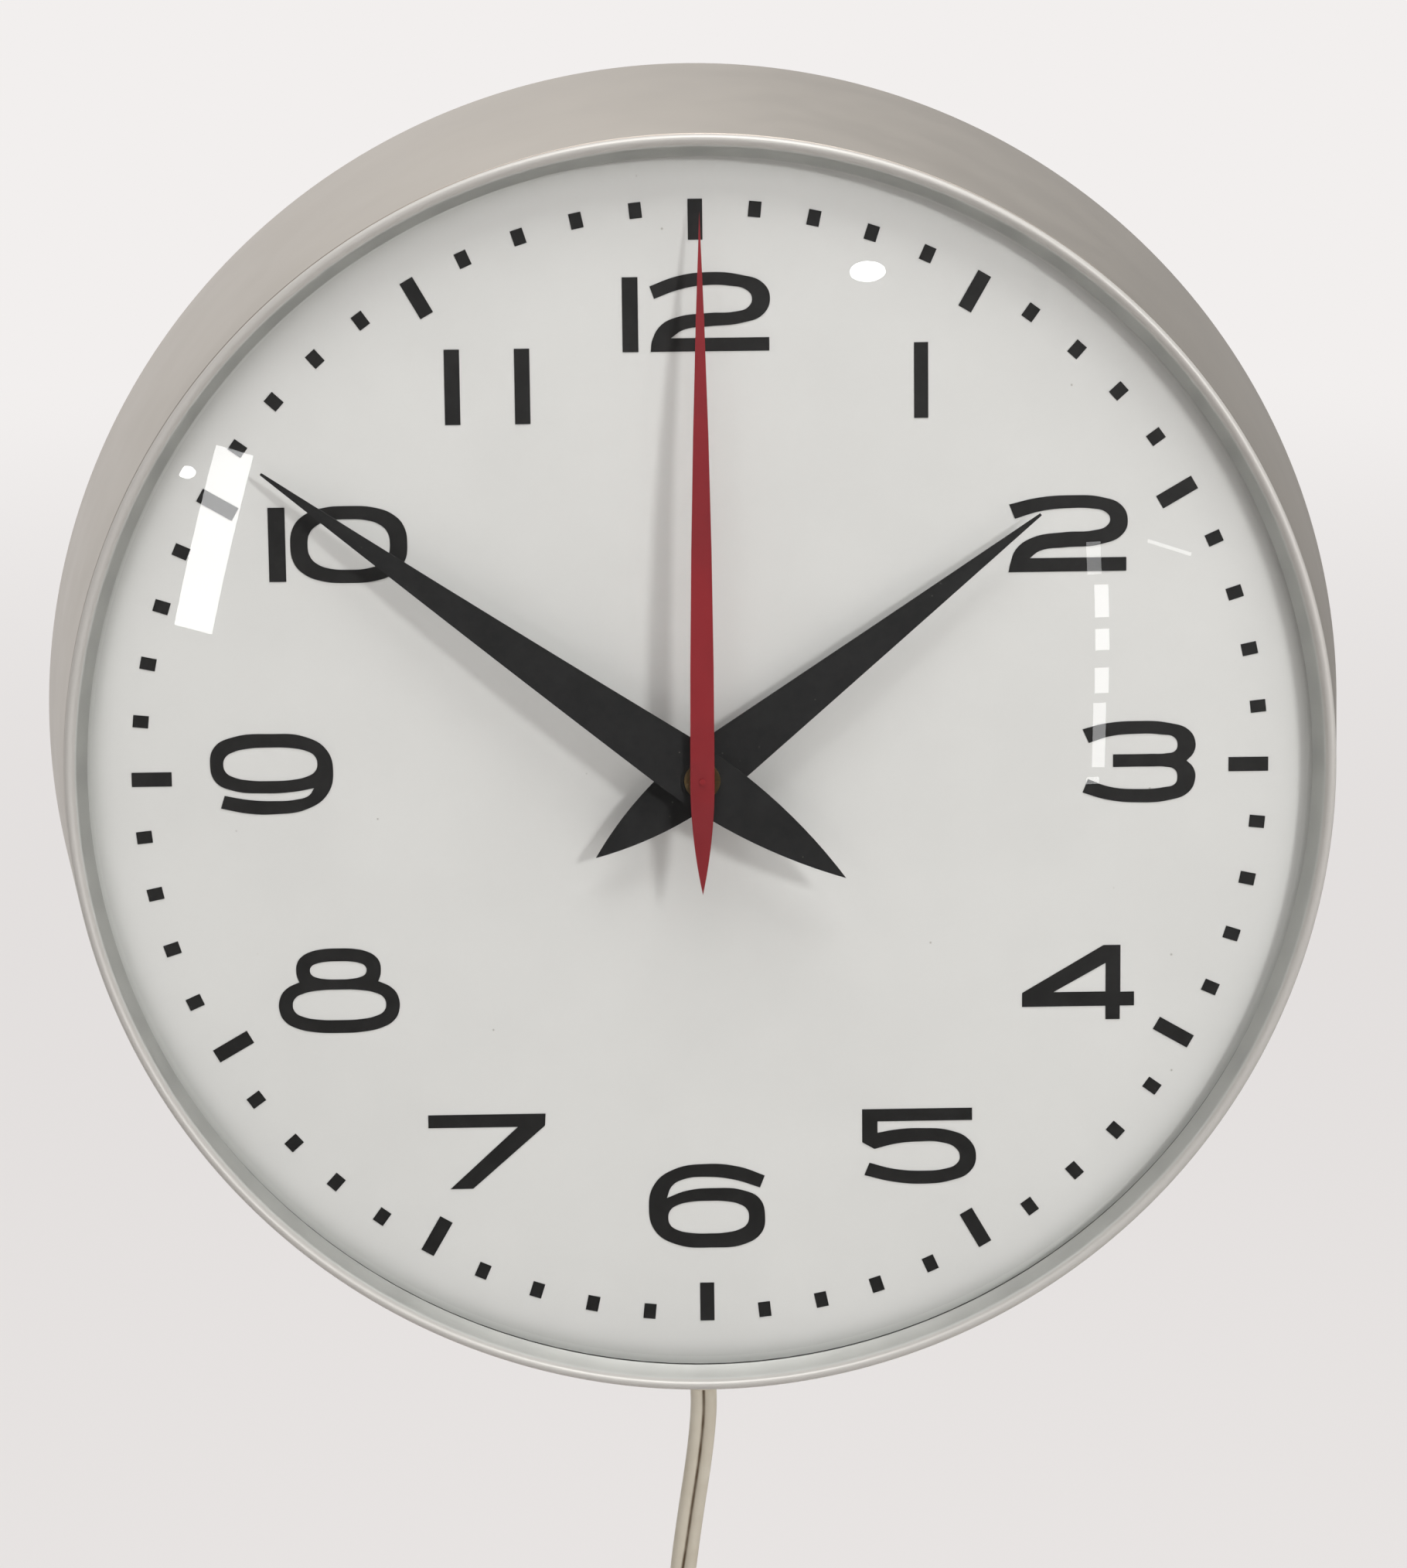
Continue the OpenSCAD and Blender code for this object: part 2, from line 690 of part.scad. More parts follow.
// Three-armed friction spring, pressed between the cannon leaves and the centre wheel
module clutch_spring() {
    arm_len = 7;
    arm_t = 0.3;
    hub_z = cannon_leaf_z - arm_t;
    face() color([0.72, 0.72, 0.7]) difference() {
        union() {
            translate([0, 0, hub_z]) cylinder(r = minute_tube_r + 1.4, h = arm_t);
            for (i = [0 : 2]) rotate(i * 120) rotate([90, 0, 0]) linear_extrude(2.2, center = true)
                polygon([[0, hub_z], [0, hub_z + arm_t], [minute_tube_r + 1, hub_z + arm_t],
                    [arm_len, clutch_z + arm_t], [arm_len + 1.2, clutch_z + arm_t],
                    [arm_len + 1.2, clutch_z], [arm_len, clutch_z], [minute_tube_r + 1, hub_z]]);
        }
        translate([0, 0, clutch_z]) cylinder(r = minute_tube_r, h = 3 * leaf_len);
    }
}

module second_arbor() {
    shoulder_z = tube_start_z - 1;
    face() color([0.7, 0.7, 0.7]) {
        translate([0, 0, back_plate_z]) cylinder(r = pivot_r, h = plate_t + end_float);
        translate([0, 0, train_z + end_float]) cylinder(r = arbor_r, h = shoulder_z - train_z - end_float);
        translate([0, 0, shoulder_z])
            cylinder(r = second_arbor_r, h = second_mid_z + second_t / 2 + 0.4 - shoulder_z);
        translate([0, 0, second_leaf_z]) pinion(second_leaves, third_module, leaf_len, arbor_r);
    }
}

module second_wheel() {
    face() color([0.76, 0.6, 0.32]) translate([0, 0, second_wheel_z])
        wheel(second_teeth, first_module, arbor_r, arbor_r + 2.4, 4, 1.8);
}

module third_arbor() {
    face() color([0.7, 0.7, 0.7]) at(third_at) {
        translate([0, 0, back_plate_z]) cylinder(r = pivot_r, h = plate_gap + 2 * plate_t);
        translate([0, 0, train_z + end_float]) cylinder(r = arbor_r, h = plate_gap - 2 * end_float);
        translate([0, 0, third_leaf_z]) pinion(third_leaves, center_module, leaf_len, arbor_r);
    }
}

module third_wheel() {
    face() color([0.76, 0.6, 0.32]) at(third_at, third_wheel_z) rotate(third_phase)
        wheel(third_teeth, third_module, arbor_r, arbor_r + 2.6, 5, 2.2);
}

// Output shaft of the motor with its pinion
module motor_pinion() {
    shaft_start_z = can_front_z - 5;
    leaf_z = second_wheel_z - 0.6;
    face() color([0.7, 0.7, 0.7]) at(motor_at) {
        translate([0, 0, shaft_start_z])
            cylinder(r = motor_shaft_r, h = second_wheel_z + wheel_t + 1 - shaft_start_z);
        translate([0, 0, leaf_z]) rotate(motor_phase)
            pinion(motor_teeth, first_module, wheel_t + 1.2, motor_shaft_r);
    }
}

module minute_wheel() {
    face() color([0.76, 0.6, 0.32]) at(stud_at, minute_wheel_z) rotate(minute_phase)
        wheel(minute_teeth, cannon_module, stud_r + run_gap, stud_r + 2.6, 4, 1.8);
}

module minute_pinion() {
    face() color([0.76, 0.6, 0.32]) at(stud_at, minute_leaf_z)
        pinion(minute_leaves, hour_module, hour_wheel_z + wheel_t + 1 - minute_leaf_z, stud_r + run_gap);
}

// Fixed stud in the front plate, with a head that keeps the minute wheel on
module minute_stud() {
    head_h = 0.8;
    head_z = minute_wheel_z - end_float - head_h;
    face() color([0.7, 0.7, 0.7]) at(stud_at) {
        translate([0, 0, head_z]) cylinder(r = stud_r + 0.8, h = head_h);
        translate([0, 0, head_z]) cylinder(r = stud_r, h = front_plate_z + plate_t - head_z);
        translate([0, 0, hour_wheel_z + wheel_t + 1 + end_float])
            cylinder(r = stud_r + 1, h = front_plate_z - hour_wheel_z - wheel_t - 1 - end_float);
    }
}

module set_arbor() {
    knob_end = 2.6;
    face() color([0.7, 0.7, 0.7]) at(set_at) {
        translate([0, 0, knob_end]) cylinder(r = set_arbor_r, h = front_plate_z - end_float - knob_end);
        translate([0, 0, front_plate_z - end_float]) cylinder(r = pivot_r, h = plate_t + end_float);
        translate([0, 0, minute_wheel_z - 0.7]) rotate(set_phase)
            pinion(set_leaves, cannon_module, wheel_t + 1.4, set_arbor_r);
    }
}

// Fluted knob, kept inside its pocket
module set_knob() {
    knob_z = 1.4;
    flutes = 24;
    face() color([0.12, 0.12, 0.12]) at(set_at, knob_z) difference() {
        union() {
            linear_extrude(knob_h - 2) difference() {
                circle(knob_r);
                for (i = [0 : flutes - 1])
                    rotate(i * 360 / flutes) translate([knob_r + 0.3, 0]) circle(0.7, $fn = 16);
            }
            translate([0, 0, knob_h - 2]) cylinder(r1 = knob_r - 0.7, r2 = knob_r / 2, h = 2);
        }
        translate([0, 0, -1]) cylinder(r = knob_r - 2.5, h = 1.6);
        translate([0, 0, 1.2]) cylinder(r = set_arbor_r, h = knob_h);
    }
}

// Plates and what joins them

module plate_blank(z) {
    translate([0, 0, z]) linear_extrude(plate_t) difference() {
        round_rect([plate_w, plate_h], 8);
        for (p = pillars_at) translate(p) circle(pillar_r / 2 + seat_gap);
    }
}

module front_plate() {
    face() color([0.74, 0.7, 0.55]) difference() {
        plate_blank(front_plate_z);
        translate([0, 0, front_plate_z - 1]) {
            cylinder(r = bushing_r, h = plate_t + 2);
            at(third_at) cylinder(r = pivot_r + run_gap, h = plate_t + 2, $fn = 32);
            at(set_at) cylinder(r = pivot_r + run_gap, h = plate_t + 2, $fn = 32);
            at(stud_at) cylinder(r = stud_r, h = plate_t + 2);
        }
    }
}

module back_plate() {
    face() color([0.74, 0.7, 0.55]) difference() {
        plate_blank(back_plate_z);
        translate([0, 0, back_plate_z - 1]) {
            cylinder(r = pivot_r + run_gap, h = plate_t + 2, $fn = 32);
            at(third_at) cylinder(r = pivot_r + run_gap, h = plate_t + 2, $fn = 32);
            at(set_at) cylinder(r = set_arbor_r + run_gap, h = plate_t + 2, $fn = 32);
            at(motor_at) cylinder(r = can_boss_r + seat_gap, h = plate_t + 2);
            motor_screw_places(0) cylinder(r = motor_screw_r, h = plate_t + 2, $fn = 32);
        }
    }
}

module plate_pillars() {
    face() color([0.76, 0.6, 0.32]) for (p = pillars_at) at(p, train_z) ring(pillar_r, pillar_r / 2, plate_gap);
}

// Long screws that clamp both plates to the pillars, with cheese heads behind
module pillar_screws() {
    head_h = 1.8;
    face() color([0.62, 0.62, 0.6]) for (p = pillars_at) at(p) difference() {
        union() {
            translate([0, 0, back_plate_z - head_h]) cylinder(r = pillar_r, h = head_h, $fn = 32);
            translate([0, 0, back_plate_z])
                cylinder(r = pillar_r / 2, h = front_plate_z + plate_t + dial_gap / 2 - back_plate_z);
        }
        translate([0, 0, back_plate_z - head_h]) cube([2 * pillar_r + 1, 0.8, 1.4], center = true);
    }
}

// Dial feet, tapped tubes on the back of the dial
module dial_posts() {
    face() color([0.76, 0.6, 0.32]) for (p = pillars_at) at(p, front_plate_z + plate_t) difference() {
        cylinder(r = pillar_r, h = dial_gap);
        translate([0, 0, -1]) cylinder(r = pillar_r / 2, h = dial_gap / 2 + 1);
    }
}

module center_bushing() {
    flange_h = 1.2;
    start_z = front_plate_z - flange_h;
    face() color([0.76, 0.6, 0.32]) difference() {
        union() {
            translate([0, 0, start_z]) cylinder(r = bushing_r + nut_over, h = flange_h);
            translate([0, 0, start_z]) cylinder(r = bushing_r, h = dial_z + bushing_out - start_z);
        }
        translate([0, 0, start_z - 1]) cylinder(r = bushing_bore_r, h = 2 * dial_z);
    }
}

module bushing_washer() {
    face() color([0.7, 0.7, 0.7]) translate([0, 0, dial_z])
        ring(bushing_r + nut_over + seat_gap, bushing_r + seat_gap, washer_t);
}

module bushing_nut() {
    face() color([0.76, 0.6, 0.32]) translate([0, 0, dial_z + washer_t]) difference() {
        cylinder(r = bushing_r + nut_over, h = hex_h, $fn = 6);
        translate([0, 0, -1]) cylinder(r = bushing_r, h = hex_h + 2);
    }
}

// Motor

module motor_screw_places(z) {
    for (p = motor_holes) at(p, z) children();
}

module rotor_can() {
    shoulder = 2;
    face() color([0.72, 0.56, 0.34]) at(motor_at) difference() {
        union() {
            translate([0, 0, can_front_z - can_len]) cylinder(r = can_r * 0.62, h = can_len);
            translate([0, 0, can_front_z - can_len + shoulder]) cylinder(r = can_r, h = can_len - shoulder);
            translate([0, 0, can_front_z - 1]) cylinder(r = can_boss_r, h = train_z - can_front_z + 1.4);
        }
        translate([0, 0, can_front_z - 6]) cylinder(r = motor_shaft_r + run_gap, h = 20);
    }
}

// Stack of laminations with two poles that hug the rotor can
module stator_core() {
    top = motor_at[1] + can_r + 3;
    bottom = bar_top - limb_w;
    face() color([0.45, 0.45, 0.47]) translate([0, 0, stack_z]) linear_extrude(stack_t) difference() {
        translate([0, (top + bottom) / 2]) round_rect([stator_w, top - bottom], 2);
        translate(motor_at) circle(can_r + free_gap);
        translate([-pole_gap / 2, window_top - 5]) square([pole_gap, top - window_top + 10]);
        translate([limb_w - stator_w / 2, bar_top]) square([stator_w - 2 * limb_w, window_h]);
        motor_screw_places(0) circle(motor_screw_r + seat_gap, $fn = 32);
    }
}

// Square-sectioned wire coil on the lower limb, between two card flanges
module coil_winding() {
    length = stator_w - 2 * limb_w - 2 * flange_t - 1;
    face() color([0.55, 0.35, 0.2]) translate([0, bar_mid, stack_z + stack_t / 2]) rotate([0, 90, 0])
        linear_extrude(length, center = true) difference() {
            round_rect([stack_t + 2 * coil_build, limb_w + 2 * coil_build], 3);
            square([stack_t + 2, limb_w + 2], center = true);
        }
}

module coil_bobbin() {
    length = stator_w - 2 * limb_w - 1;
    face() color([0.85, 0.82, 0.7]) translate([0, bar_mid, stack_z + stack_t / 2]) rotate([0, 90, 0]) {
        for (s = [-1, 1]) translate([0, 0, s * (length - flange_t) / 2])
            linear_extrude(flange_t, center = true) difference() {
                round_rect([stack_t + 2 * coil_build + 1, limb_w + 2 * coil_build + 1], 2);
                square([stack_t + 2 * seat_gap, limb_w + 2 * seat_gap], center = true);
            }
        linear_extrude(length, center = true) difference() {
            square([stack_t + 2, limb_w + 2], center = true);
            square([stack_t + 2 * seat_gap, limb_w + 2 * seat_gap], center = true);
        }
    }
}

module motor_posts() {
    post_z = stack_z + stack_t;
    face() color([0.7, 0.7, 0.7]) motor_screw_places(post_z)
        ring(motor_screw_r + 1.4, motor_screw_r + seat_gap, back_plate_z - post_z);
}

module motor_screws() {
    head_h = 1.6;
    face() color([0.62, 0.62, 0.6]) motor_screw_places(stack_z) {
        translate([0, 0, -head_h]) cylinder(r = motor_screw_r + 1.3, h = head_h, $fn = 32);
        cylinder(r = motor_screw_r, h = train_z + 1 - stack_z, $fn = 32);
    }
}

// Back of the clock

module cover_screw_places() {
    for (i = [0 : cover_screw_count - 1])
        rotate(i * 360 / cover_screw_count) translate([screw_circle_r, 0, 0]) children();
}

module keyhole() {
    translate([0, key_height]) {
        circle(key_r);
        translate([-key_slot_w / 2, 0]) square([key_slot_w, key_slot_len]);
        translate([0, key_slot_len]) circle(key_slot_w / 2, $fn = 32);
    }
}

// Pressed cover with a raised pan, a ring bead and a pocket for the knob
module back_cover() {
    face() color([0.5, 0.5, 0.49]) difference() {
        union() {
            turned(big_fn) {
                translate([pan_r - cover_t, cover_rim_z]) square([cover_r - pan_r + cover_t, cover_t]);
                translate([pan_r - cover_t, 0]) square([cover_t, flange_set]);
                difference() {
                    union() {
                        square([pan_r, cover_t]);
                        translate([bead_mid - bead_half, 0]) square([2 * bead_half, cover_t + bead_rise]);
                    }
                    translate([bead_mid - bead_half + cover_t, -1])
                        square([2 * (bead_half - cover_t), bead_rise + 1]);
                }
            }
            at(set_at) cylinder(r = pocket_r + cover_t, h = pocket_depth);
        }
        at(set_at, -1) cylinder(r = pocket_r, h = pocket_depth - cover_t + 1);
        at(set_at) cylinder(r = set_arbor_r + 1, h = pocket_depth + 1);
        rotate(45) cover_screw_places() cylinder(r = cover_screw_r + 0.25, h = 2 * flange_set);
        translate([0, 0, -1]) linear_extrude(flange_set) {
            keyhole();
            for (side = [-1, 1], i = [0 : vent_count - 1])
                translate([side * vent_x, vent_low + i * vent_pitch]) slot(vent_len, vent_w);
        }
    }
}

// Welded doubling plate that stiffens the keyhole
module hanger_plate() {
    face() color([0.6, 0.6, 0.58]) translate([0, 0, cover_t]) linear_extrude(1.5) difference() {
        translate([0, key_height + key_pad_up]) round_rect(key_pad, key_pad_up);
        keyhole();
    }
}

module cover_screws() {
    head_h = 2.2;
    face() color([0.66, 0.66, 0.65]) rotate(45) cover_screw_places() difference() {
        union() {
            translate([0, 0, cover_rim_z - head_h]) cylinder(r = cover_head_r, h = head_h, $fn = 32);
            translate([0, 0, cover_rim_z]) cylinder(r = cover_screw_r, h = cover_t + case_wall + 3, $fn = 32);
        }
        translate([0, 0, cover_rim_z - head_h]) cube([2 * cover_head_r + 1, 0.9, 1.6], center = true);
    }
}

// Mains lead

// Moulded strain relief whose flanges follow the slope of the case
module cord_bushing() {
    outer_r = case_r(exit_y);
    face() color([0.8, 0.75, 0.66]) {
        difference() {
            translate([0, 0, exit_y]) rotate([90, 0, 0]) {
                translate([0, 0, outer_r - 4]) cylinder(r = relief_flange_r, h = 4 + relief_flange_t);
            }
            case_solid(seat_gap);
        }
        intersection() {
            translate([0, 0, exit_y]) rotate([90, 0, 0])
                translate([0, 0, outer_r - case_wall - relief_in])
                    cylinder(r = relief_flange_r, h = relief_in + 2);
            case_solid(-case_wall * 1.02 - seat_gap);
        }
        translate([0, 0, exit_y]) rotate([90, 0, 0]) {
            translate([0, 0, outer_r - 5]) cylinder(r = relief_neck_r, h = 7);
            translate([0, 0, outer_r + relief_flange_t - 0.5])
                cylinder(r1 = relief_neck_r, r2 = relief_tip_r, h = relief_out - relief_flange_t + 0.5);
        }
    }
}

// Solid cone that fills the case to its outer surface, grown by a gap
module case_solid(gap) {
    cylinder(r1 = case_r(0) + gap, r2 = case_r(40) + gap, h = 40, $fn = big_fn);
}

// Tube swept along points, each ring spanned by its own two directions
module swept(points, wide, thin, section) {
    n = len(points);
    m = len(section);
    rings = [for (i = [0 : n - 1], s = section) points[i] + s[0] * wide[i] + s[1] * thin[i]];
    verts = concat(rings, [points[0], points[n - 1]]);
    walls = [for (i = [0 : n - 2], j = [0 : m - 1])
        let (a = i * m + j, b = i * m + (j + 1) % m, c = a + m, d = b + m)
        each [[a, d, b], [a, c, d]]];
    start = [for (j = [0 : m - 1]) [n * m, j, (j + 1) % m]];
    finish = [for (j = [0 : m - 1]) [n * m + 1, (n - 1) * m + (j + 1) % m, (n - 1) * m + j]];
    polyhedron(points = verts, faces = concat(walls, start, finish));
}

function unit(v) = v / norm(v);

// Direction of a route at one of its points
function heading(route, i) =
    unit(route[min(i + 1, len(route) - 1)] - route[max(i - 1, 0)]);

// Round leads inside the case, from the strain relief to the two ends of the coil
module inner_leads() {
    start_z = exit_y;
    start_y = -(case_r(exit_y) - case_wall - relief_in);
    end_y = bar_mid - limb_w / 2 - coil_build;
    coil_z = stack_z + stack_t / 2;
    apart = 1.9;
    spread = 7;
    tail = 8;
    lead_r = 1.1;
    sides = 8;
    section = [for (j = [0 : sides - 1]) lead_r * [cos(j * 360 / sides), sin(j * 360 / sides)]];
    face() color([0.8, 0.75, 0.66]) for (s = [-1, 1]) {
        way = [for (f = [0, 0.12, 0.3, 0.5, 0.7, 0.88, 1])
            let (ease = f * f * (3 - 2 * f))
            [s * (apart + (spread - apart) * ease), start_y + tail + (end_y - start_y - 2 * tail) * f,
                start_z + (coil_z - start_z) * ease]];
        route = concat([[s * apart, start_y, start_z]], way, [[s * spread, end_y, coil_z]]);
        wide = [for (i = [0 : len(route) - 1]) unit(cross(heading(route, i), [0, 0, 1]))];
        thin = [for (i = [0 : len(route) - 1]) cross(heading(route, i), wide[i])];
        swept(route, wide, thin, section);
    }
}

// Free stretch of the flat twin lead, with its groove and its quarter twist
module power_cord() {
    last = len(CORD_ROUTE) - 1;
    twist = [for (i = [0 : last]) i <= TWIST_FROM ? 0 : 90 * (i - TWIST_FROM) / (last - TWIST_FROM)];
    across = [for (i = [0 : last]) unit(cross([0, 1, 0], heading(CORD_ROUTE, i)))];
    fore = [for (i = [0 : last]) cross(heading(CORD_ROUTE, i), across[i])];
    wide = [for (i = [0 : last]) cos(twist[i]) * across[i] + sin(twist[i]) * fore[i]];
    thin = [for (i = [0 : last]) cos(twist[i]) * fore[i] - sin(twist[i]) * across[i]];
    color([0.83, 0.79, 0.72]) swept(CORD_ROUTE, wide, thin,
        [for (p = twin_section) [p[0] * twin_scale[0], p[1] * twin_scale[1]]]);
}

// Centre line of the coil, in turns from where the lead first runs round it
function coil_point(t) =
    let (r = coil_out_r - coil_pitch * min(t, coil_turns - t),
        a = 180 + 360 * t,
        climb = min(max((t - coil_half) * 2, 0), 1))
    coil_center + [r * cos(a), -coil_layer * climb, r * sin(a)];

coil_line = concat([coil_start],
    [for (i = [0 : coil_turns * coil_rings]) coil_point(i / coil_rings)],
    [plug_top]);
coil_radial = concat([[-1, 0, 0]],
    [for (i = [0 : coil_turns * coil_rings]) let (a = 180 + 360 * i / coil_rings) [cos(a), 0, sin(a)]],
    [[-1, 0, 0]]);

module cord_coil() {
    color([0.83, 0.79, 0.72])
        swept(coil_line, [for (p = coil_line) [0, -1, 0]], coil_radial, coil_section);
}

// Least gap between turns, measured between points on rings that lie close together
function ring_gap(i, j) =
    min([for (p = coil_section, q = coil_section)
        norm(coil_line[i] - p[0] * [0, 1, 0] + p[1] * coil_radial[i]
            - coil_line[j] + q[0] * [0, 1, 0] - q[1] * coil_radial[j])]);
coil_gap = min([for (i = [1 : len(coil_line) - 2], j = [i + 12 : len(coil_line) - 2])
    if (norm(coil_line[i] - coil_line[j]) < 2 * lead_w) ring_gap(i, j)]);

// Length of a line through points, added up pair by pair
function line_length(p, i = 1) = i >= len(p) ? 0 : norm(p[i] - p[i - 1]) + line_length(p, i + 1);

// Hook and loop tie round all the turns at the top of the coil
module cord_tie() {
    slack = 0.9;
    inner = coil_out_r - coil_pitch * coil_half - lead_t / 2 - slack;
    outer = coil_out_r - coil_pitch * 0.2 + lead_t / 2 + slack;
    depth = coil_layer + lead_w + 2 * slack;
    t = 0.9;
    color([0.1, 0.1, 0.1])
        translate(coil_center + [0, -coil_layer / 2, (inner + outer) / 2]) rotate([90, 0, 90])
            linear_extrude(8, center = true) difference() {
                round_rect([depth + 2 * t, outer - inner + 2 * t], 2);
                round_rect([depth, outer - inner], 1.2);
            }
}

// Moulded flat plug, thin neck above a tapered body
module plug_body() {
    neck_len = 10;
    neck_r = 3.9;
    color([0.83, 0.79, 0.72]) translate(plug_top) mirror([0, 0, 1]) {
        difference() {
            cylinder(r = neck_r, h = neck_len + 1, $fn = 48);
            for (i = [0 : 2]) translate([0, 0, 2 + i * 2.6]) difference() {
                cylinder(r = neck_r + 1, h = 1.1, $fn = 48);
                cylinder(r = neck_r - 0.8, h = 1.1, $fn = 48);
            }
        }
        translate([0, 0, neck_len]) intersection() {
            rotate([90, 0, 90]) linear_extrude(plug_t, center = true) plug_outline(plug_w, 7.6, 3);
            rotate([90, 0, 0]) linear_extrude(plug_w, center = true) plug_outline(plug_t, 7.6, 2);
        }
    }
}

// Side of the plug, narrow at the lead and full width past its shoulder
module plug_outline(w, top_w, r) {
    shoulder = 9;
    polygon([[-top_w / 2, 0], [top_w / 2, 0], [w / 2, shoulder], [w / 2, plug_len - r], [-w / 2, plug_len - r],
        [-w / 2, shoulder]]);
    for (s = [-1, 1]) translate([s * (w / 2 - r), plug_len - r]) circle(r, $fn = 32);
    translate([-w / 2 + r, plug_len - r]) square([w - 2 * r, r]);
}

module plug_blades() {
    spacing = 12.7;
    blade_w = 6.3;
    blade_t = 1.5;
    hole_r = 1.6;
    start = 10 + plug_len;
    color([0.78, 0.68, 0.42]) translate(plug_top) mirror([0, 0, 1]) for (s = [-1, 1])
        translate([0, s * spacing / 2, start]) rotate([90, 0, 0]) linear_extrude(blade_t, center = true)
            difference() {
                union() {
                    translate([-blade_w / 2, 0]) square([blade_w, blade_len - 1]);
                    polygon([[-blade_w / 2, blade_len - 1], [blade_w / 2, blade_len - 1],
                        [blade_w / 2 - 1, blade_len], [1 - blade_w / 2, blade_len]]);
                }
                translate([0, blade_len - 4.5]) circle(hole_r, $fn = 32);
            }
}

echo(coil_gap = coil_gap, lead_length = line_length(CORD_ROUTE) + line_length(coil_line));

case_shell();
dome_glass();
glass_gasket();
dial_clips();
dial_plate();
dial_marks();
hour_hand();
hour_collet();
hour_wheel();
minute_hand();
minute_collet();
minute_nut();
minute_tube();
center_wheel();
clutch_spring();
second_hand();
second_collet();
second_arbor();
second_wheel();
third_arbor();
third_wheel();
motor_pinion();
minute_wheel();
minute_pinion();
minute_stud();
set_arbor();
set_knob();
front_plate();
back_plate();
plate_pillars();
pillar_screws();
dial_posts();
center_bushing();
bushing_washer();
bushing_nut();
rotor_can();
stator_core();
coil_bobbin();
coil_winding();
motor_posts();
motor_screws();
back_cover();
hanger_plate();
cover_screws();
cord_bushing();
inner_leads();
power_cord();
cord_coil();
cord_tie();
plug_body();
plug_blades();
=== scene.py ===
"""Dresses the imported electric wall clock: spun case, domed glass, printed dial and mains lead.

Lengths are millimetres until spot() turns them into metres of the row frame. Its face frame
has x to the right, y up and z out from the wall, and the dial faces -Y of the row frame.
"""

import json
import logging
import math
from dataclasses import dataclass, field
from enum import Enum
from typing import Any, Callable, Optional, Sequence, Union

import bmesh
import bpy
from mathutils import Matrix, Vector


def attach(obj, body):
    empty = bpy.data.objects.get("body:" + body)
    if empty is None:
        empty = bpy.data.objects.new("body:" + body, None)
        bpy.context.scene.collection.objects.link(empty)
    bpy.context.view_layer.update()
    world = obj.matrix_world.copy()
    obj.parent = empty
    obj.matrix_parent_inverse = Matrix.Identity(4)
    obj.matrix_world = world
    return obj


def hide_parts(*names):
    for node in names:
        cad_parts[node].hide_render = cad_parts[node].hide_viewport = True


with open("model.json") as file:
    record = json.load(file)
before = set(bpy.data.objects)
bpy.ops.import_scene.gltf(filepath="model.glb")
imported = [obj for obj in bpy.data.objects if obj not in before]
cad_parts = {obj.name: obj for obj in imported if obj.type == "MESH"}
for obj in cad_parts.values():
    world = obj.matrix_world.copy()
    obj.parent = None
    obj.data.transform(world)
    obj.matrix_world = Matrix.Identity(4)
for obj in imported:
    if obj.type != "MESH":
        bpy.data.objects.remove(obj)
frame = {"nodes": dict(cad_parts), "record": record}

LOG = logging.getLogger("wall_clock")
MM = 0.001
CLOCK = "clock_body"
SETTING = "set_body"

Piece = bpy.types.Object
Node = bpy.types.Node
Socket = bpy.types.NodeSocket
Tree = bpy.types.NodeTree
Source = Union[Node, Socket]
Inputs = Union[dict[Any, Any], Sequence[Any]]
Pair = tuple[float, float]
Triple = tuple[float, float, float]

# Places that two or more pieces share
SCREW_CIRCLE = 166.0
SCREW_ANGLES = [math.radians(45 + 90 * k) for k in range(4)]
SETTING_AT = (22.06, 18.51)
DIAL_MIDDLE = Vector((0, -0.1, 0))

# Least part of a direction that counts as lying along an axis
ALONG = 0.9


# Places and outlines

def spot(x: float, y: float, z: float) -> Vector:
    """Turns a point of the face frame into metres of the row frame."""
    return Vector((x, -z, y)) * MM


class Axis(Enum):
    """Line that a piece is turned round, as the row frame direction that its levels run in."""

    CLOCK = (0.0, -1.0, 0.0)
    PLUMB = (0.0, 0.0, -1.0)


BEND_STEP = math.radians(18)


def rounded(corners: Sequence[tuple[float, ...]], closed: bool = True) -> list[Pair]:
    """Rounds the corners of an outline.

    Args:
        corners: Radius and level of each corner, and the radius of its bend where it has one.
        closed: Whether the last corner joins the first.

    Returns:
        The points of the rounded outline.
    """
    points: list[Pair] = []
    last = len(corners) - 1
    for i, corner in enumerate(corners):
        here = Vector(corner[:2])
        bend = corner[2] if len(corner) > 2 else 0.0
        if not bend or (not closed and i in (0, last)):
            points.append((here.x, here.y))
            continue
        back = (Vector(corners[i - 1][:2]) - here).normalized()
        ahead = (Vector(corners[(i + 1) % len(corners)][:2]) - here).normalized()
        half = back.angle(ahead) / 2
        middle = here + (back + ahead).normalized() * (bend / math.sin(half))
        start = here + back * (bend / math.tan(half)) - middle
        end = here + ahead * (bend / math.tan(half)) - middle
        first = math.atan2(start.y, start.x)
        sweep = (math.atan2(end.y, end.x) - first + math.pi) % math.tau - math.pi
        steps = max(2, math.ceil(abs(sweep) / BEND_STEP))
        for k in range(steps + 1):
            angle = first + sweep * k / steps
            points.append((middle.x + bend * math.cos(angle), middle.y + bend * math.sin(angle)))
    return points


def arc(middle: Pair, radius: float, start: float, end: float, steps: int) -> list[Pair]:
    """Points of an arc about a middle, between two angles in degrees."""
    angles = [math.radians(start + (end - start) * k / steps) for k in range(steps + 1)]
    return [(middle[0] + radius * math.cos(a), middle[1] + radius * math.sin(a)) for a in angles]


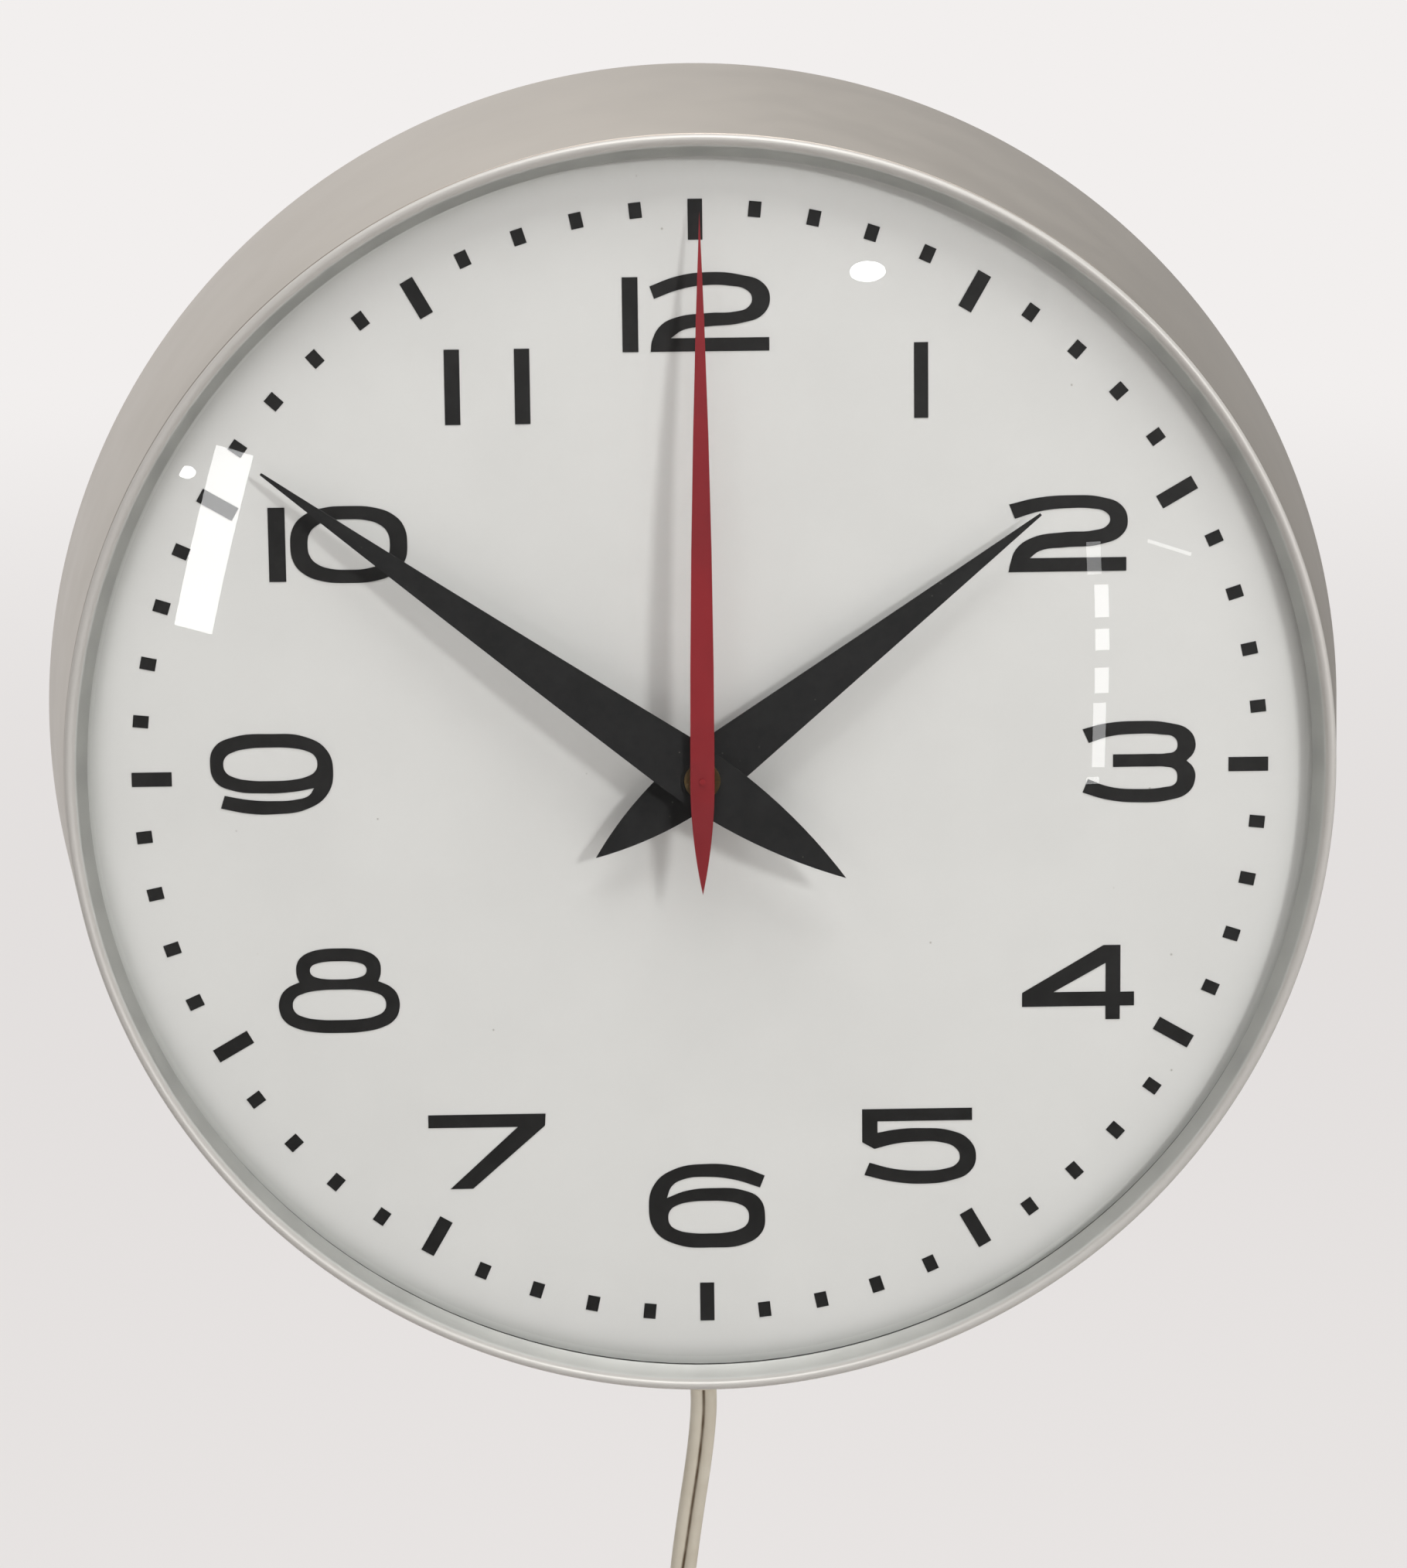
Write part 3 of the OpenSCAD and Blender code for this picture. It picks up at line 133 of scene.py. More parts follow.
def eased(share: float) -> float:
    """Gives a share that runs from 0 to 1 a soft start and end."""
    return share * share * (3 - 2 * share)


def screw_places(circle: float) -> list[Pair]:
    """Middles of the cover's screws on a circle of the face frame."""
    return [(circle * math.cos(a), circle * math.sin(a)) for a in SCREW_ANGLES]


# Work at the bench

def deselect() -> None:
    """Deselects every object, since an operator acts on all that is selected."""
    if bpy.context.mode != "OBJECT":
        bpy.ops.object.mode_set(mode="OBJECT")
    for item in list(bpy.context.selected_objects):
        item.select_set(False)


def focus(piece: Piece) -> None:
    """Selects one piece alone and makes it active.

    Args:
        piece: The piece to work on.
    """
    deselect()
    piece.select_set(True)
    bpy.context.view_layer.objects.active = piece


def started(name: str) -> Piece:
    """Names the primitive that was just added, and returns it.

    Args:
        name: Its name.

    Returns:
        The piece.
    """
    piece = bpy.context.object
    piece.name = name
    piece.data.name = name
    return piece


class Part(Enum):
    """What is picked in edit mode."""

    VERTS = "VERT"
    EDGES = "EDGE"
    FACES = "FACE"


class Cutting(Enum):
    """What becomes of the shape of a tool that is set against a piece."""

    AWAY = "DIFFERENCE"
    TOGETHER = "UNION"


def pick(piece: Piece, part: Part, test: Callable[[Any], bool]) -> int:
    """Selects the parts of a mesh in edit mode that pass a test.

    Args:
        piece: The piece in edit mode.
        part: Which kind of part is tested.
        test: Says whether a part is selected.

    Returns:
        How many were selected.
    """
    bpy.ops.mesh.select_mode(type=part.value)
    bpy.ops.mesh.select_all(action="DESELECT")
    mesh = bmesh.from_edit_mesh(piece.data)
    mesh.normal_update()
    found = [x for x in getattr(mesh, part.name.lower()) if test(x)]
    for x in found:
        x.select_set(True)
    mesh.select_flush_mode()
    bmesh.update_edit_mesh(piece.data)
    return len(found)


def turn(name: str, outline: Sequence[Pair], axis: Axis = Axis.CLOCK, at: Vector = Vector(),
         steps: int = 96, closed: bool = True) -> Piece:
    """Draws an outline point by point and spins it round an axis.

    Args:
        name: Name of the piece.
        outline: Radius and level of each point.
        axis: The line it is turned round.
        at: A point of that line, in metres.
        steps: Steps in the full turn.
        closed: Whether the outline runs back to its start, or ends on the axis.

    Returns:
        The turned piece.
    """
    line = Vector(axis.value)
    spots = [at + (Vector((across, 0, 0)) + line * along) * MM for across, along in outline]
    deselect()
    bpy.ops.mesh.primitive_plane_add(size=MM, location=(0, 0, 0))
    piece = started(name)
    bpy.ops.object.mode_set(mode="EDIT")
    bpy.ops.mesh.select_mode(type="VERT")
    bpy.ops.mesh.select_all(action="SELECT")
    bpy.ops.mesh.merge(type="CENTER")
    bpy.ops.transform.translate(value=spots[0])
    for before, after in zip(spots, spots[1:]):
        bpy.ops.mesh.extrude_vertices_move(TRANSFORM_OT_translate={"value": after - before})
    if closed:
        ends = {0, len(spots) - 1}
        pick(piece, Part.VERTS, lambda v: v.index in ends)
        bpy.ops.mesh.edge_face_add()
    bpy.ops.mesh.select_mode(type="VERT")
    bpy.ops.mesh.select_all(action="SELECT")
    bpy.ops.mesh.spin(steps=steps, angle=math.tau, center=at, axis=line)
    tidy_shell()
    return piece


def tidy_shell() -> None:
    """Merges the seams of the mesh in edit mode, turns its faces outward and leaves edit mode."""
    bpy.ops.mesh.select_all(action="SELECT")
    bpy.ops.mesh.remove_doubles(threshold=0.002 * MM)
    bpy.ops.mesh.normals_make_consistent(inside=False)
    bpy.ops.object.mode_set(mode="OBJECT")


def modify(piece: Piece, kind: str, **settings: Any) -> None:
    """Adds a modifier with its settings and applies it.

    Args:
        piece: The piece.
        kind: Type of the modifier.
        settings: The modifier's own settings.
    """
    focus(piece)
    modifier = piece.modifiers.new(kind, kind)
    for name, value in settings.items():
        setattr(modifier, name, value)
    bpy.ops.object.modifier_apply(modifier=modifier.name)


def ease_edges(piece: Piece, width: float, segments: int = 2, angle: float = 35) -> None:
    """Rounds the sharp edges of a piece over a width in millimetres."""
    modify(piece, "BEVEL", width=width * MM, segments=segments, limit_method="ANGLE",
           angle_limit=math.radians(angle), offset_type="OFFSET")


def cut(piece: Piece, tool: Piece, way: Cutting = Cutting.AWAY) -> None:
    """Cuts one piece with another, or joins them into one solid, and removes the tool.

    Args:
        piece: The piece that is cut.
        tool: The piece that cuts it.
        way: Whether the tool's shape is taken away or added.
    """
    modify(piece, "BOOLEAN", object=tool, operation=way.value, solver="EXACT")
    mesh = tool.data
    bpy.data.objects.remove(tool)
    bpy.data.meshes.remove(mesh)


def rod(name: str, radius: float, near: Vector, far: Vector, sides: int = 64) -> Piece:
    """Adds a cylinder between two points in metres, with a radius in millimetres.

    Args:
        name: Name of the piece.
        radius: Its radius in millimetres.
        near: Middle of one end, in metres.
        far: Middle of the other end, in metres.
        sides: How many sides it has.

    Returns:
        The cylinder.
    """
    deselect()
    way = far - near
    bpy.ops.mesh.primitive_cylinder_add(
        vertices=sides, radius=radius * MM, depth=way.length, location=(near + far) / 2,
        rotation=way.to_track_quat("Z", "Y").to_euler())
    piece = started(name)
    settle_place(piece)
    return piece


def block(name: str, middle: Vector, size: Sequence[float]) -> Piece:
    """Adds a box about a point in metres, with row frame sizes in millimetres.

    Args:
        name: Name of the piece.
        middle: Its middle, in metres.
        size: Its width, depth and height in millimetres.

    Returns:
        The box.
    """
    deselect()
    bpy.ops.mesh.primitive_cube_add(size=MM, location=middle, scale=size)
    piece = started(name)
    settle_place(piece)
    return piece


def settle_place(piece: Piece) -> None:
    """Moves a piece's place, turn and scale into its mesh."""
    focus(piece)
    bpy.ops.object.transform_apply(location=True, rotation=True, scale=True)


def twin(piece: Piece, name: str, turned: Matrix) -> Piece:
    """Copies a piece with its own mesh, moved by a matrix.

    Args:
        piece: The piece to copy.
        name: Name of the copy.
        turned: Matrix that moves the copy's mesh.

    Returns:
        The copy.
    """
    copy = piece.copy()
    copy.data = piece.data.copy()
    copy.data.transform(turned)
    copy.name = name
    bpy.context.scene.collection.objects.link(copy)
    return copy


def joined(pieces: Sequence[Piece], name: str) -> Piece:
    """Joins pieces into the first of them.

    Args:
        pieces: The pieces, of which the first takes up the rest.
        name: Name of the whole.

    Returns:
        The whole.
    """
    focus(pieces[0])
    for piece in pieces:
        piece.select_set(True)
    if len(pieces) > 1:
        bpy.ops.object.join()
    return started(name)


def smooth(piece: Piece, angle: float = 30) -> None:
    """Shades a piece smooth across edges flatter than an angle in degrees."""
    focus(piece)
    bpy.ops.object.shade_smooth_by_angle(angle=math.radians(angle))


# Finishes

def linear(code: str) -> tuple[float, float, float, float]:
    """Turns an sRGB hex colour into linear light.

    Args:
        code: The colour, as # and six hex digits.

    Returns:
        Red, green, blue and an alpha of 1.
    """
    parts = [int(code[i:i + 2], 16) / 255 for i in (1, 3, 5)]
    light = [c / 12.92 if c <= 0.04045 else ((c + 0.055) / 1.055) ** 2.4 for c in parts]
    return (*light, 1.0)


def cleared(owner: Any) -> Tree:
    """Gives a material or a world an empty node tree.

    Args:
        owner: The material or the world.

    Returns:
        Its node tree.
    """
    owner.use_nodes = True
    owner.node_tree.nodes.clear()
    return owner.node_tree


def add_node(tree: Tree, kind: str, inputs: Inputs = (), **settings: Any) -> Node:
    """Adds a node with its settings and links.

    Args:
        tree: The node tree.
        kind: Type of the node, without its prefix.
        inputs: What its inputs get, in order or by key: a value, a socket to link, or a node,
            which stands for its first output.
        settings: The node's own settings.

    Returns:
        The node.
    """
    node = tree.nodes.new(f"ShaderNode{kind}")
    for name, value in settings.items():
        setattr(node, name, value)
    for key, value in inputs.items() if isinstance(inputs, dict) else enumerate(inputs):
        if isinstance(value, Node):
            value = value.outputs[0]
        if isinstance(value, Socket):
            tree.links.new(value, node.inputs[key])
        else:
            node.inputs[key].default_value = value
    return node


def patches(tree: Tree, place: Socket, size: float, detail: float, held: Pair,
            given: Pair) -> Node:
    """Soft patches, from noise that is held within a range and stretched to another.

    Args:
        tree: The node tree.
        place: Object coordinates.
        size: Size of a patch in millimetres.
        detail: How many finer layers the noise has.
        held: Range of the noise that is used.
        given: Values that the two ends of that range give.

    Returns:
        The node that gives the patches.
    """
    noise = add_node(tree, "TexNoise",
                     {"Vector": place, "Scale": 1 / (size * MM), "Detail": detail})
    return add_node(tree, "MapRange", [noise, *held, *given], interpolation_type="SMOOTHSTEP")


def dust(tree: Tree, place: Socket, gap: float, size: Pair, most: float) -> Node:
    """Sparse specks, strongest in their middles.

    Args:
        tree: The node tree.
        place: Object coordinates.
        gap: Mean distance between specks in millimetres.
        size: Where a speck starts to fade and where it ends, as shares of the gap.
        most: Its strength in the middle.

    Returns:
        The node that gives the specks.
    """
    near = add_node(tree, "TexVoronoi", {"Vector": place, "Scale": 1 / (gap * MM)})
    return add_node(tree, "MapRange", [near.outputs["Distance"], *size, most, 0],
                    interpolation_type="SMOOTHSTEP")


def axis_distance(tree: Tree, place: Socket) -> Node:
    """Distance of a place from the clock's axis.

    Args:
        tree: The node tree.
        place: Object coordinates.

    Returns:
        The node that gives it, in metres.
    """
    x, _, z = add_node(tree, "SeparateXYZ", [place]).outputs
    high = add_node(tree, "Math", [z, z], operation="MULTIPLY")
    both = add_node(tree, "Math", [x, x, high], operation="MULTIPLY_ADD")
    return add_node(tree, "Math", [both], operation="SQRT")


# Scale at which the wave texture has one line in each metre
WAVE_TURN = math.tau / 20


class Run(Enum):
    """Which way parallel lines follow each other, as the wave texture names it."""

    ACROSS = "X"
    OUTWARD = "Y"
    SLANTING = "DIAGONAL"


@dataclass(frozen=True)
class Finish:
    """A coat or bare surface with mottled colour, uneven gloss and a fine raised grain."""

    name: str
    tint: str
    mottle_tint: str
    roughness: float
    metallic: float = 0.0
    ior: float = 1.5
    gloss_swing: float = 0.05
    mottle: float = 14.0
    grain: float = 0.5
    relief: float = 0.008
    sheen: float = 0.0

    def colour(self, tree: Tree, place: Socket) -> Socket:
        """Colour of the surface, in soft mottles.

        Args:
            tree: The node tree.
            place: Object coordinates.

        Returns:
            The colour.
        """
        share = patches(tree, place, self.mottle, 4, (0.3, 0.7), (0, 1))
        return add_node(tree, "Mix", {0: share, 6: linear(self.tint), 7: linear(self.mottle_tint)},
                        data_type="RGBA").outputs[2]

    def height(self, tree: Tree, place: Socket) -> Source:
        """Height of the grain, from 0 to 1."""
        return add_node(tree, "TexNoise",
                        {"Vector": place, "Scale": 1 / (self.grain * MM), "Detail": 3})

    def gloss(self, tree: Tree, place: Socket) -> Node:
        """Roughness of the surface, a little uneven."""
        swing = self.roughness - self.gloss_swing, self.roughness + self.gloss_swing
        return patches(tree, place, self.mottle / 3, 3, (0.3, 0.7), swing)

    def shine(self, tree: Tree, place: Socket) -> Union[float, Source]:
        """How metallic the surface is: here the same all over."""
        return self.metallic

    def material(self) -> bpy.types.Material:
        """Builds the material, once for each name.

        Returns:
            The material.
        """
        known = bpy.data.materials.get(self.name)
        if known is not None:
            return known
        material = bpy.data.materials.new(self.name)
        tree = cleared(material)
        place = add_node(tree, "TexCoord").outputs["Object"]
        bump = add_node(tree, "Bump", {"Strength": 1.0, "Distance": self.relief * MM,
                                       "Height": self.height(tree, place)})
        facts: dict[str, Any] = {
            "Base Color": self.colour(tree, place), "Roughness": self.gloss(tree, place),
            "Normal": bump, "Metallic": self.shine(tree, place), "Sheen Weight": self.sheen}
        if self.metallic < 1:
            facts["IOR"] = self.ior
        add_node(tree, "OutputMaterial", [add_node(tree, "BsdfPrincipled", facts)])
        return material


@dataclass(frozen=True)
class LinedFinish(Finish):
    """A finish with parallel lines at a pitch in millimetres."""

    pitch: float = 0.5
    run: Run = Run.OUTWARD
    waver: float = 0.0

    def ribs(self, tree: Tree, place: Socket, run: Optional[Run] = None) -> Socket:
        """Height of the lines, in the finish's own direction or in another.

        Args:
            tree: The node tree.
            place: Object coordinates.
            run: Which way the lines are counted, if not the finish's own.

        Returns:
            The height, from 0 to 1.
        """
        return add_node(tree, "TexWave", {
            "Vector": place, "Scale": WAVE_TURN / (self.pitch * MM), "Distortion": self.waver,
            "Detail Scale": 1.0}, bands_direction=(run or self.run).value).outputs["Fac"]


@dataclass(frozen=True)
class SpunLacquer(LinedFinish):
    """Metallic lacquer over spun sheet: the spinning lines still show through it."""

    pitch: float = 0.9
    waver: float = 1.5

    def height(self, tree: Tree, place: Socket) -> Node:
        """Flake grain over faint rings."""
        return add_node(tree, "Math", [self.ribs(tree, place), 0.15, super().height(tree, place)],
                        operation="MULTIPLY_ADD")


@dataclass(frozen=True)
class PaintedLightLacquer(SpunLacquer):
    """Case lacquer: thin over the bare lip, with a painted highlight on the bead and painted shade
    in the seam.
    """

    lip_tint: str = "#CCCDC9"
    lip_metallic: float = 0.92
    lip_from: float = 90.0
    bead_metallic: float = 0.25
    bead_from: float = 100.0
    # Pale tint over the bead from this level on: a painted highlight where the bead catches the
    # light.
    bead_highlight_tint: str = "#C9C6C1"
    bead_highlight_from: float = 100.3
    bead_highlight_run: float = 0.5
    # Dark tint along the seam between the side and the bead: painted shade in the crease.
    seam_shade_tint: str = "#7C6C5F"
    seam_level: float = 99.7
    seam_radius: float = 157.6

    def measures(self, tree: Tree, place: Socket) -> tuple[Node, Node]:
        """Level from the wall and distance from the axis, in millimetres.

        Args:
            tree: The node tree.
            place: Object coordinates.

        Returns:
            The nodes that give the level and the distance.
        """
        depth = add_node(tree, "SeparateXYZ", [place]).outputs[1]
        return (add_node(tree, "Math", [depth, -1 / MM], operation="MULTIPLY"),
                add_node(tree, "Math", [axis_distance(tree, place), 1 / MM], operation="MULTIPLY"))

    def on_lip(self, tree: Tree, place: Socket) -> Node:
        """Tells the sloping lip and the bead from the rest of the case.

        Args:
            tree: The node tree.
            place: Object coordinates.

        Returns:
            The node that gives 1 there and 0 elsewhere.
        """
        level, radius = self.measures(tree, place)
        inside = add_node(tree, "Math", [radius, self.seam_radius], operation="LESS_THAN")
        bead = add_node(tree, "Math", [level, self.bead_from], operation="GREATER_THAN")
        front = add_node(tree, "Math", [level, self.lip_from], operation="GREATER_THAN")
        either = add_node(tree, "Math", [inside, bead], operation="MAXIMUM")
        return add_node(tree, "Math", [either, front], operation="MULTIPLY")

    def colour(self, tree: Tree, place: Socket) -> Socket:
        """Lacquer colour, with the lip paler, a pale painted highlight on the bead and a dark
        painted shade along the seam.

        Args:
            tree: The node tree.
            place: Object coordinates.

        Returns:
            The colour.
        """
        level, radius = self.measures(tree, place)
        # Painted highlight: the bead is made paler from this level on.
        bead_highlight = add_node(tree, "MapRange", [
            level, self.bead_highlight_from, self.bead_highlight_from + self.bead_highlight_run, 0.0, 0.9],
            interpolation_type="SMOOTHSTEP")
        off = add_node(tree, "Math", [level, self.seam_level], operation="SUBTRACT")
        away = add_node(tree, "Math", [off], operation="ABSOLUTE")
        near = add_node(tree, "MapRange", [away, 0.2, 0.5, 0.8, 0.0],
                        interpolation_type="SMOOTHSTEP")
        outside = add_node(tree, "Math", [radius, self.seam_radius], operation="GREATER_THAN")
        # Painted shade: a dark line along the seam, outside the bead.
        seam_shade = add_node(tree, "Math", [near, outside], operation="MULTIPLY")
        shown = super().colour(tree, place)
        for share, tint in ((self.on_lip(tree, place), self.lip_tint), (bead_highlight, self.bead_highlight_tint),
                            (seam_shade, self.seam_shade_tint)):
            shown = add_node(tree, "Mix", {0: share, 6: shown, 7: linear(tint)},
                             data_type="RGBA").outputs[2]
        return shown

    def shine(self, tree: Tree, place: Socket) -> Node:
        """Nearly bare metal on the lip, chalky lacquer on the bead.

        Args:
            tree: The node tree.
            place: Object coordinates.

        Returns:
            The node that gives how metallic the surface is.
        """
        lip = add_node(tree, "MapRange", [
            self.on_lip(tree, place), 0.0, 1.0, self.metallic, self.lip_metallic],
            interpolation_type="SMOOTHSTEP")
        bead = add_node(tree, "MapRange", [
            self.measures(tree, place)[0], self.bead_from - 0.1, self.bead_from + 0.4, 0.0, 1.0],
            interpolation_type="SMOOTHSTEP")
        return add_node(tree, "Mix", {0: bead, 2: lip, 3: self.bead_metallic})


@dataclass(frozen=True)
class TurnedMetal(LinedFinish):
    """Bare metal with the lines of a lathe or a brush."""

    pitch: float = 0.35
    waver: float = 2.0

    def height(self, tree: Tree, place: Socket) -> Node:
        """Fine parallel lines, broken up by grain."""
        return add_node(tree, "Math", [super().height(tree, place), 0.6, self.ribs(tree, place)],
                        operation="MULTIPLY_ADD")


@dataclass(frozen=True)
class TippedSteel(TurnedMetal):
    """Ground steel whose tip was painted together with the hand on it."""

    paint: str = "#8E0E1A"
    paint_roughness: float = 0.5
    paint_from: float = 106.5
    paint_run: float = 0.1

    def painted(self, tree: Tree, place: Socket, bare: float, coated: float) -> Node:
        """Gives the bare steel one value and the painted tip another.

        Args:
            tree: The node tree.
            place: Object coordinates.
            bare: Value on the steel.
            coated: Value on the paint.

        Returns:
            The node that gives the value.
        """
        depth = add_node(tree, "SeparateXYZ", [place]).outputs[1]
        start, end = -self.paint_from * MM, -(self.paint_from + self.paint_run) * MM
        return add_node(tree, "MapRange", [depth, start, end, bare, coated],
                        interpolation_type="SMOOTHSTEP")

    def colour(self, tree: Tree, place: Socket) -> Socket:
        """Steel, and paint beyond the level where the hand begins.

        Args:
            tree: The node tree.
            place: Object coordinates.

        Returns:
            The colour.
        """
        return add_node(tree, "Mix", {0: self.painted(tree, place, 0, 1),
                                      6: super().colour(tree, place), 7: linear(self.paint)},
                        data_type="RGBA").outputs[2]

    def gloss(self, tree: Tree, place: Socket) -> Node:
        """Polished steel and satin paint."""
        return self.painted(tree, place, self.roughness, self.paint_roughness)

    def shine(self, tree: Tree, place: Socket) -> Node:
        """Metal up to the paint."""
        return self.painted(tree, place, self.metallic, 0.0)


@dataclass(frozen=True)
class StackedSheet(LinedFinish):
    """Layers or wires side by side: dark seams stand between them."""

    seam: str = "#1A1A1A"

    def colour(self, tree: Tree, place: Socket) -> Socket:
        """The metal's colour with dark seams.

        Args:
            tree: The node tree.
            place: Object coordinates.

        Returns:
            The colour.
        """
        share = add_node(tree, "MapRange", [self.ribs(tree, place), 0.0, 0.35, 1, 0],
                         interpolation_type="SMOOTHSTEP")
        return add_node(tree, "Mix", {0: share, 6: super().colour(tree, place),
                                      7: linear(self.seam)}, data_type="RGBA").outputs[2]

    def height(self, tree: Tree, place: Socket) -> Source:
        """Rounded layers with grooves between them."""
        return self.ribs(tree, place)


@dataclass(frozen=True)
class DialEnamel(Finish):
    """Baked enamel on sheet: flat white, darker towards the edge as painted shade of the rim."""

    # Greenish grey towards the edge: painted shade of the rim over the dial.
    rim_shade_tint: str = "#AEB1A9"
    rim_shade_from: float = 147.0
    rim_shade_to: float = 160.0
    dust_tint: str = "#8E8A80"
    dust_gap: float = 14.0

    def colour(self, tree: Tree, place: Socket) -> Socket:
        """White in the middle, greenish grey near the edge as painted shade of the rim, with a few
        faint specks.

        Args:
            tree: The node tree.
            place: Object coordinates.

        Returns:
            The colour.
        """
        # Painted shade: the dial darkens towards the rim.
        rim_shade = add_node(tree, "MapRange", [
            axis_distance(tree, place), self.rim_shade_from * MM, self.rim_shade_to * MM, 0, 1],
            interpolation_type="SMOOTHSTEP")
        ring = add_node(tree, "Mix", {0: rim_shade, 6: super().colour(tree, place),
                                      7: linear(self.rim_shade_tint)}, data_type="RGBA").outputs[2]
        specks = dust(tree, place, self.dust_gap, (0.012, 0.03), 0.55)
        return add_node(tree, "Mix", {0: specks, 6: ring, 7: linear(self.dust_tint)},
                        data_type="RGBA").outputs[2]


@dataclass(frozen=True)
class FlatBlack(Finish):
    """Stoved black with a tooth: dust sits on it as tiny pale specks."""

    dust_tint: str = "#6A6862"
    dust_gap: float = 4.5

    def colour(self, tree: Tree, place: Socket) -> Socket:
        """Black with sparse specks of dust.

        Args:
            tree: The node tree.
            place: Object coordinates.

        Returns:
            The colour.
        """
        specks = dust(tree, place, self.dust_gap, (0.02, 0.06), 0.5)
        return add_node(tree, "Mix", {0: specks, 6: super().colour(tree, place),
                                      7: linear(self.dust_tint)}, data_type="RGBA").outputs[2]


@dataclass(frozen=True)
class CordVinyl(Finish):
    """Soft vinyl sheath: grime has settled along the groove between its two cores."""

    grime: str = "#6A5843"
    grime_patch: float = 5.0

    def colour(self, tree: Tree, place: Socket) -> Socket:
        """Ivory, browner in the groove.

        Args:
            tree: The node tree.
            place: Object coordinates.

        Returns:
            The colour.
        """
        groove = add_node(tree, "Attribute", attribute_name="groove").outputs["Fac"]
        uneven = patches(tree, place, self.grime_patch, 3, (0.3, 0.7), (0.75, 1))
        share = add_node(tree, "Math", [groove, uneven], operation="MULTIPLY")
        return add_node(tree, "Mix", {0: share, 6: super().colour(tree, place),
                                      7: linear(self.grime)}, data_type="RGBA").outputs[2]


@dataclass(frozen=True)
class HookTape(LinedFinish):
    """Woven hook and loop tape: fine crossed ribs with a dull, hairy face."""

    pitch: float = 0.6

    def height(self, tree: Tree, place: Socket) -> Node:
        """Ribs both ways under a fuzz.

        Args:
            tree: The node tree.
            place: Object coordinates.

        Returns:
            The node that gives the height.
        """
        fuzz = add_node(tree, "TexNoise",
                        {"Vector": place, "Scale": 1 / (self.grain * MM), "Detail": 4})
        crossed = add_node(tree, "Math", [self.ribs(tree, place, Run.ACROSS),
                                          self.ribs(tree, place, Run.SLANTING)],
                           operation="MULTIPLY")
        return add_node(tree, "Math", [crossed, fuzz], operation="ADD")


@dataclass(frozen=True)
class ClockGlass(Finish):
    """Bent clear glass: sharp reflections, and a ground edge."""

    ground_from: float = 154.2
    ground_run: float = 0.5
    ground_roughness: float = 0.7

    def material(self) -> bpy.types.Material:
        """Builds the glass, which lamps and soft light pass without bending.

        Returns:
            The material.
        """
        material = bpy.data.materials.new(self.name)
        tree = cleared(material)
        place = add_node(tree, "TexCoord").outputs["Object"]
        shown = add_node(tree, "BsdfPrincipled", {
            "Base Color": linear(self.tint), "Roughness": self.gloss(tree, place),
            "IOR": self.ior, "Transmission Weight": 1.0})
        clear = add_node(tree, "BsdfTransparent")
        path = add_node(tree, "LightPath").outputs
        for ray in ("Is Diffuse Ray", "Is Shadow Ray"):
            shown = add_node(tree, "MixShader", [path[ray], shown, clear])
        add_node(tree, "OutputMaterial", [shown])
        return material

    def gloss(self, tree: Tree, place: Socket) -> Node:
        """Almost no roughness where a cloth has dried, and much on the ground edge.

        Args:
            tree: The node tree.
            place: Object coordinates.

        Returns:
            The node that gives the roughness.
        """
        edge = add_node(tree, "MapRange", [
            axis_distance(tree, place), self.ground_from * MM,
            (self.ground_from + self.ground_run) * MM, 0.0, self.ground_roughness],
            interpolation_type="SMOOTHSTEP")
        dried = patches(tree, place, self.mottle, 3, (0.45, 0.75), (0.0, self.roughness))
        return add_node(tree, "Math", [edge, dried], operation="MAXIMUM")


CASE_LACQUER = PaintedLightLacquer(
    # Taupe metallic lacquer, sprayed: broad soft highlight, fine flake
    "taupe_metallic_lacquer", "#BAB5AD", "#B6B1A9", 0.47, metallic=0.82, mottle=60, grain=0.35,
    gloss_swing=0.02, relief=0.005)
BENT_GLASS = ClockGlass(
    # Soda glass, slumped and polished: sharp reflections with a few dull smears
    "slumped_soda_glass", "#FFFFFF", "#FFFFFF", 0.02, ior=1.52, mottle=60)
GASKET_RUBBER = Finish(
    # Moulded black rubber: dull, greyed by age
    "moulded_black_rubber", "#171717", "#242321", 0.75, ior=1.52, mottle=6, grain=0.3)
ZINC_PLATE = Finish(
    # Bright zinc plate over pressed steel: pale spangle, soft mirror
    "bright_zinc_plate", "#B4B4B0", "#9C9D9A", 0.34, metallic=1.0, mottle=3, grain=0.4)
DIAL_WHITE = DialEnamel(
    # Baked enamel: eggshell white with a trace of orange peel
    "baked_dial_enamel", "#DFE0DD", "#DCDDDA", 0.42, mottle=38, grain=0.9, relief=0.006)
PRINT_INK = Finish(
    # Screen ink: dense warm black, slightly shiny
    "screen_print_ink", "#161514", "#1E1D1C", 0.55, mottle=6, grain=0.3, relief=0.004)
HAND_BLACK = FlatBlack(
    # Stoved black paint on stamped sheet: fine tooth, hardly any shine
    "stoved_hand_black", "#121212", "#191919", 0.65, mottle=8, grain=0.35, relief=0.02)
HAND_RED = Finish(
    # Satin red enamel on thin sheet
    "satin_red_enamel", "#8E0E1A", "#820C18", 0.55, mottle=20, grain=0.4, relief=0.01)
CLOCK_BRASS = TurnedMetal(
    # Free-cutting brass, turned and stamped: warm yellow with lathe lines
    "turned_clock_brass", "#B39A70", "#977D56", 0.34, metallic=1.0, mottle=5, grain=0.4,
    relief=0.006)
ARBOR_STEEL = TurnedMetal(
    # Silver steel, ground: cool grey with fine lines
    "ground_silver_steel", "#B9BABC", "#A2A3A6", 0.25, metallic=1.0, mottle=4, grain=0.3,
    relief=0.004)
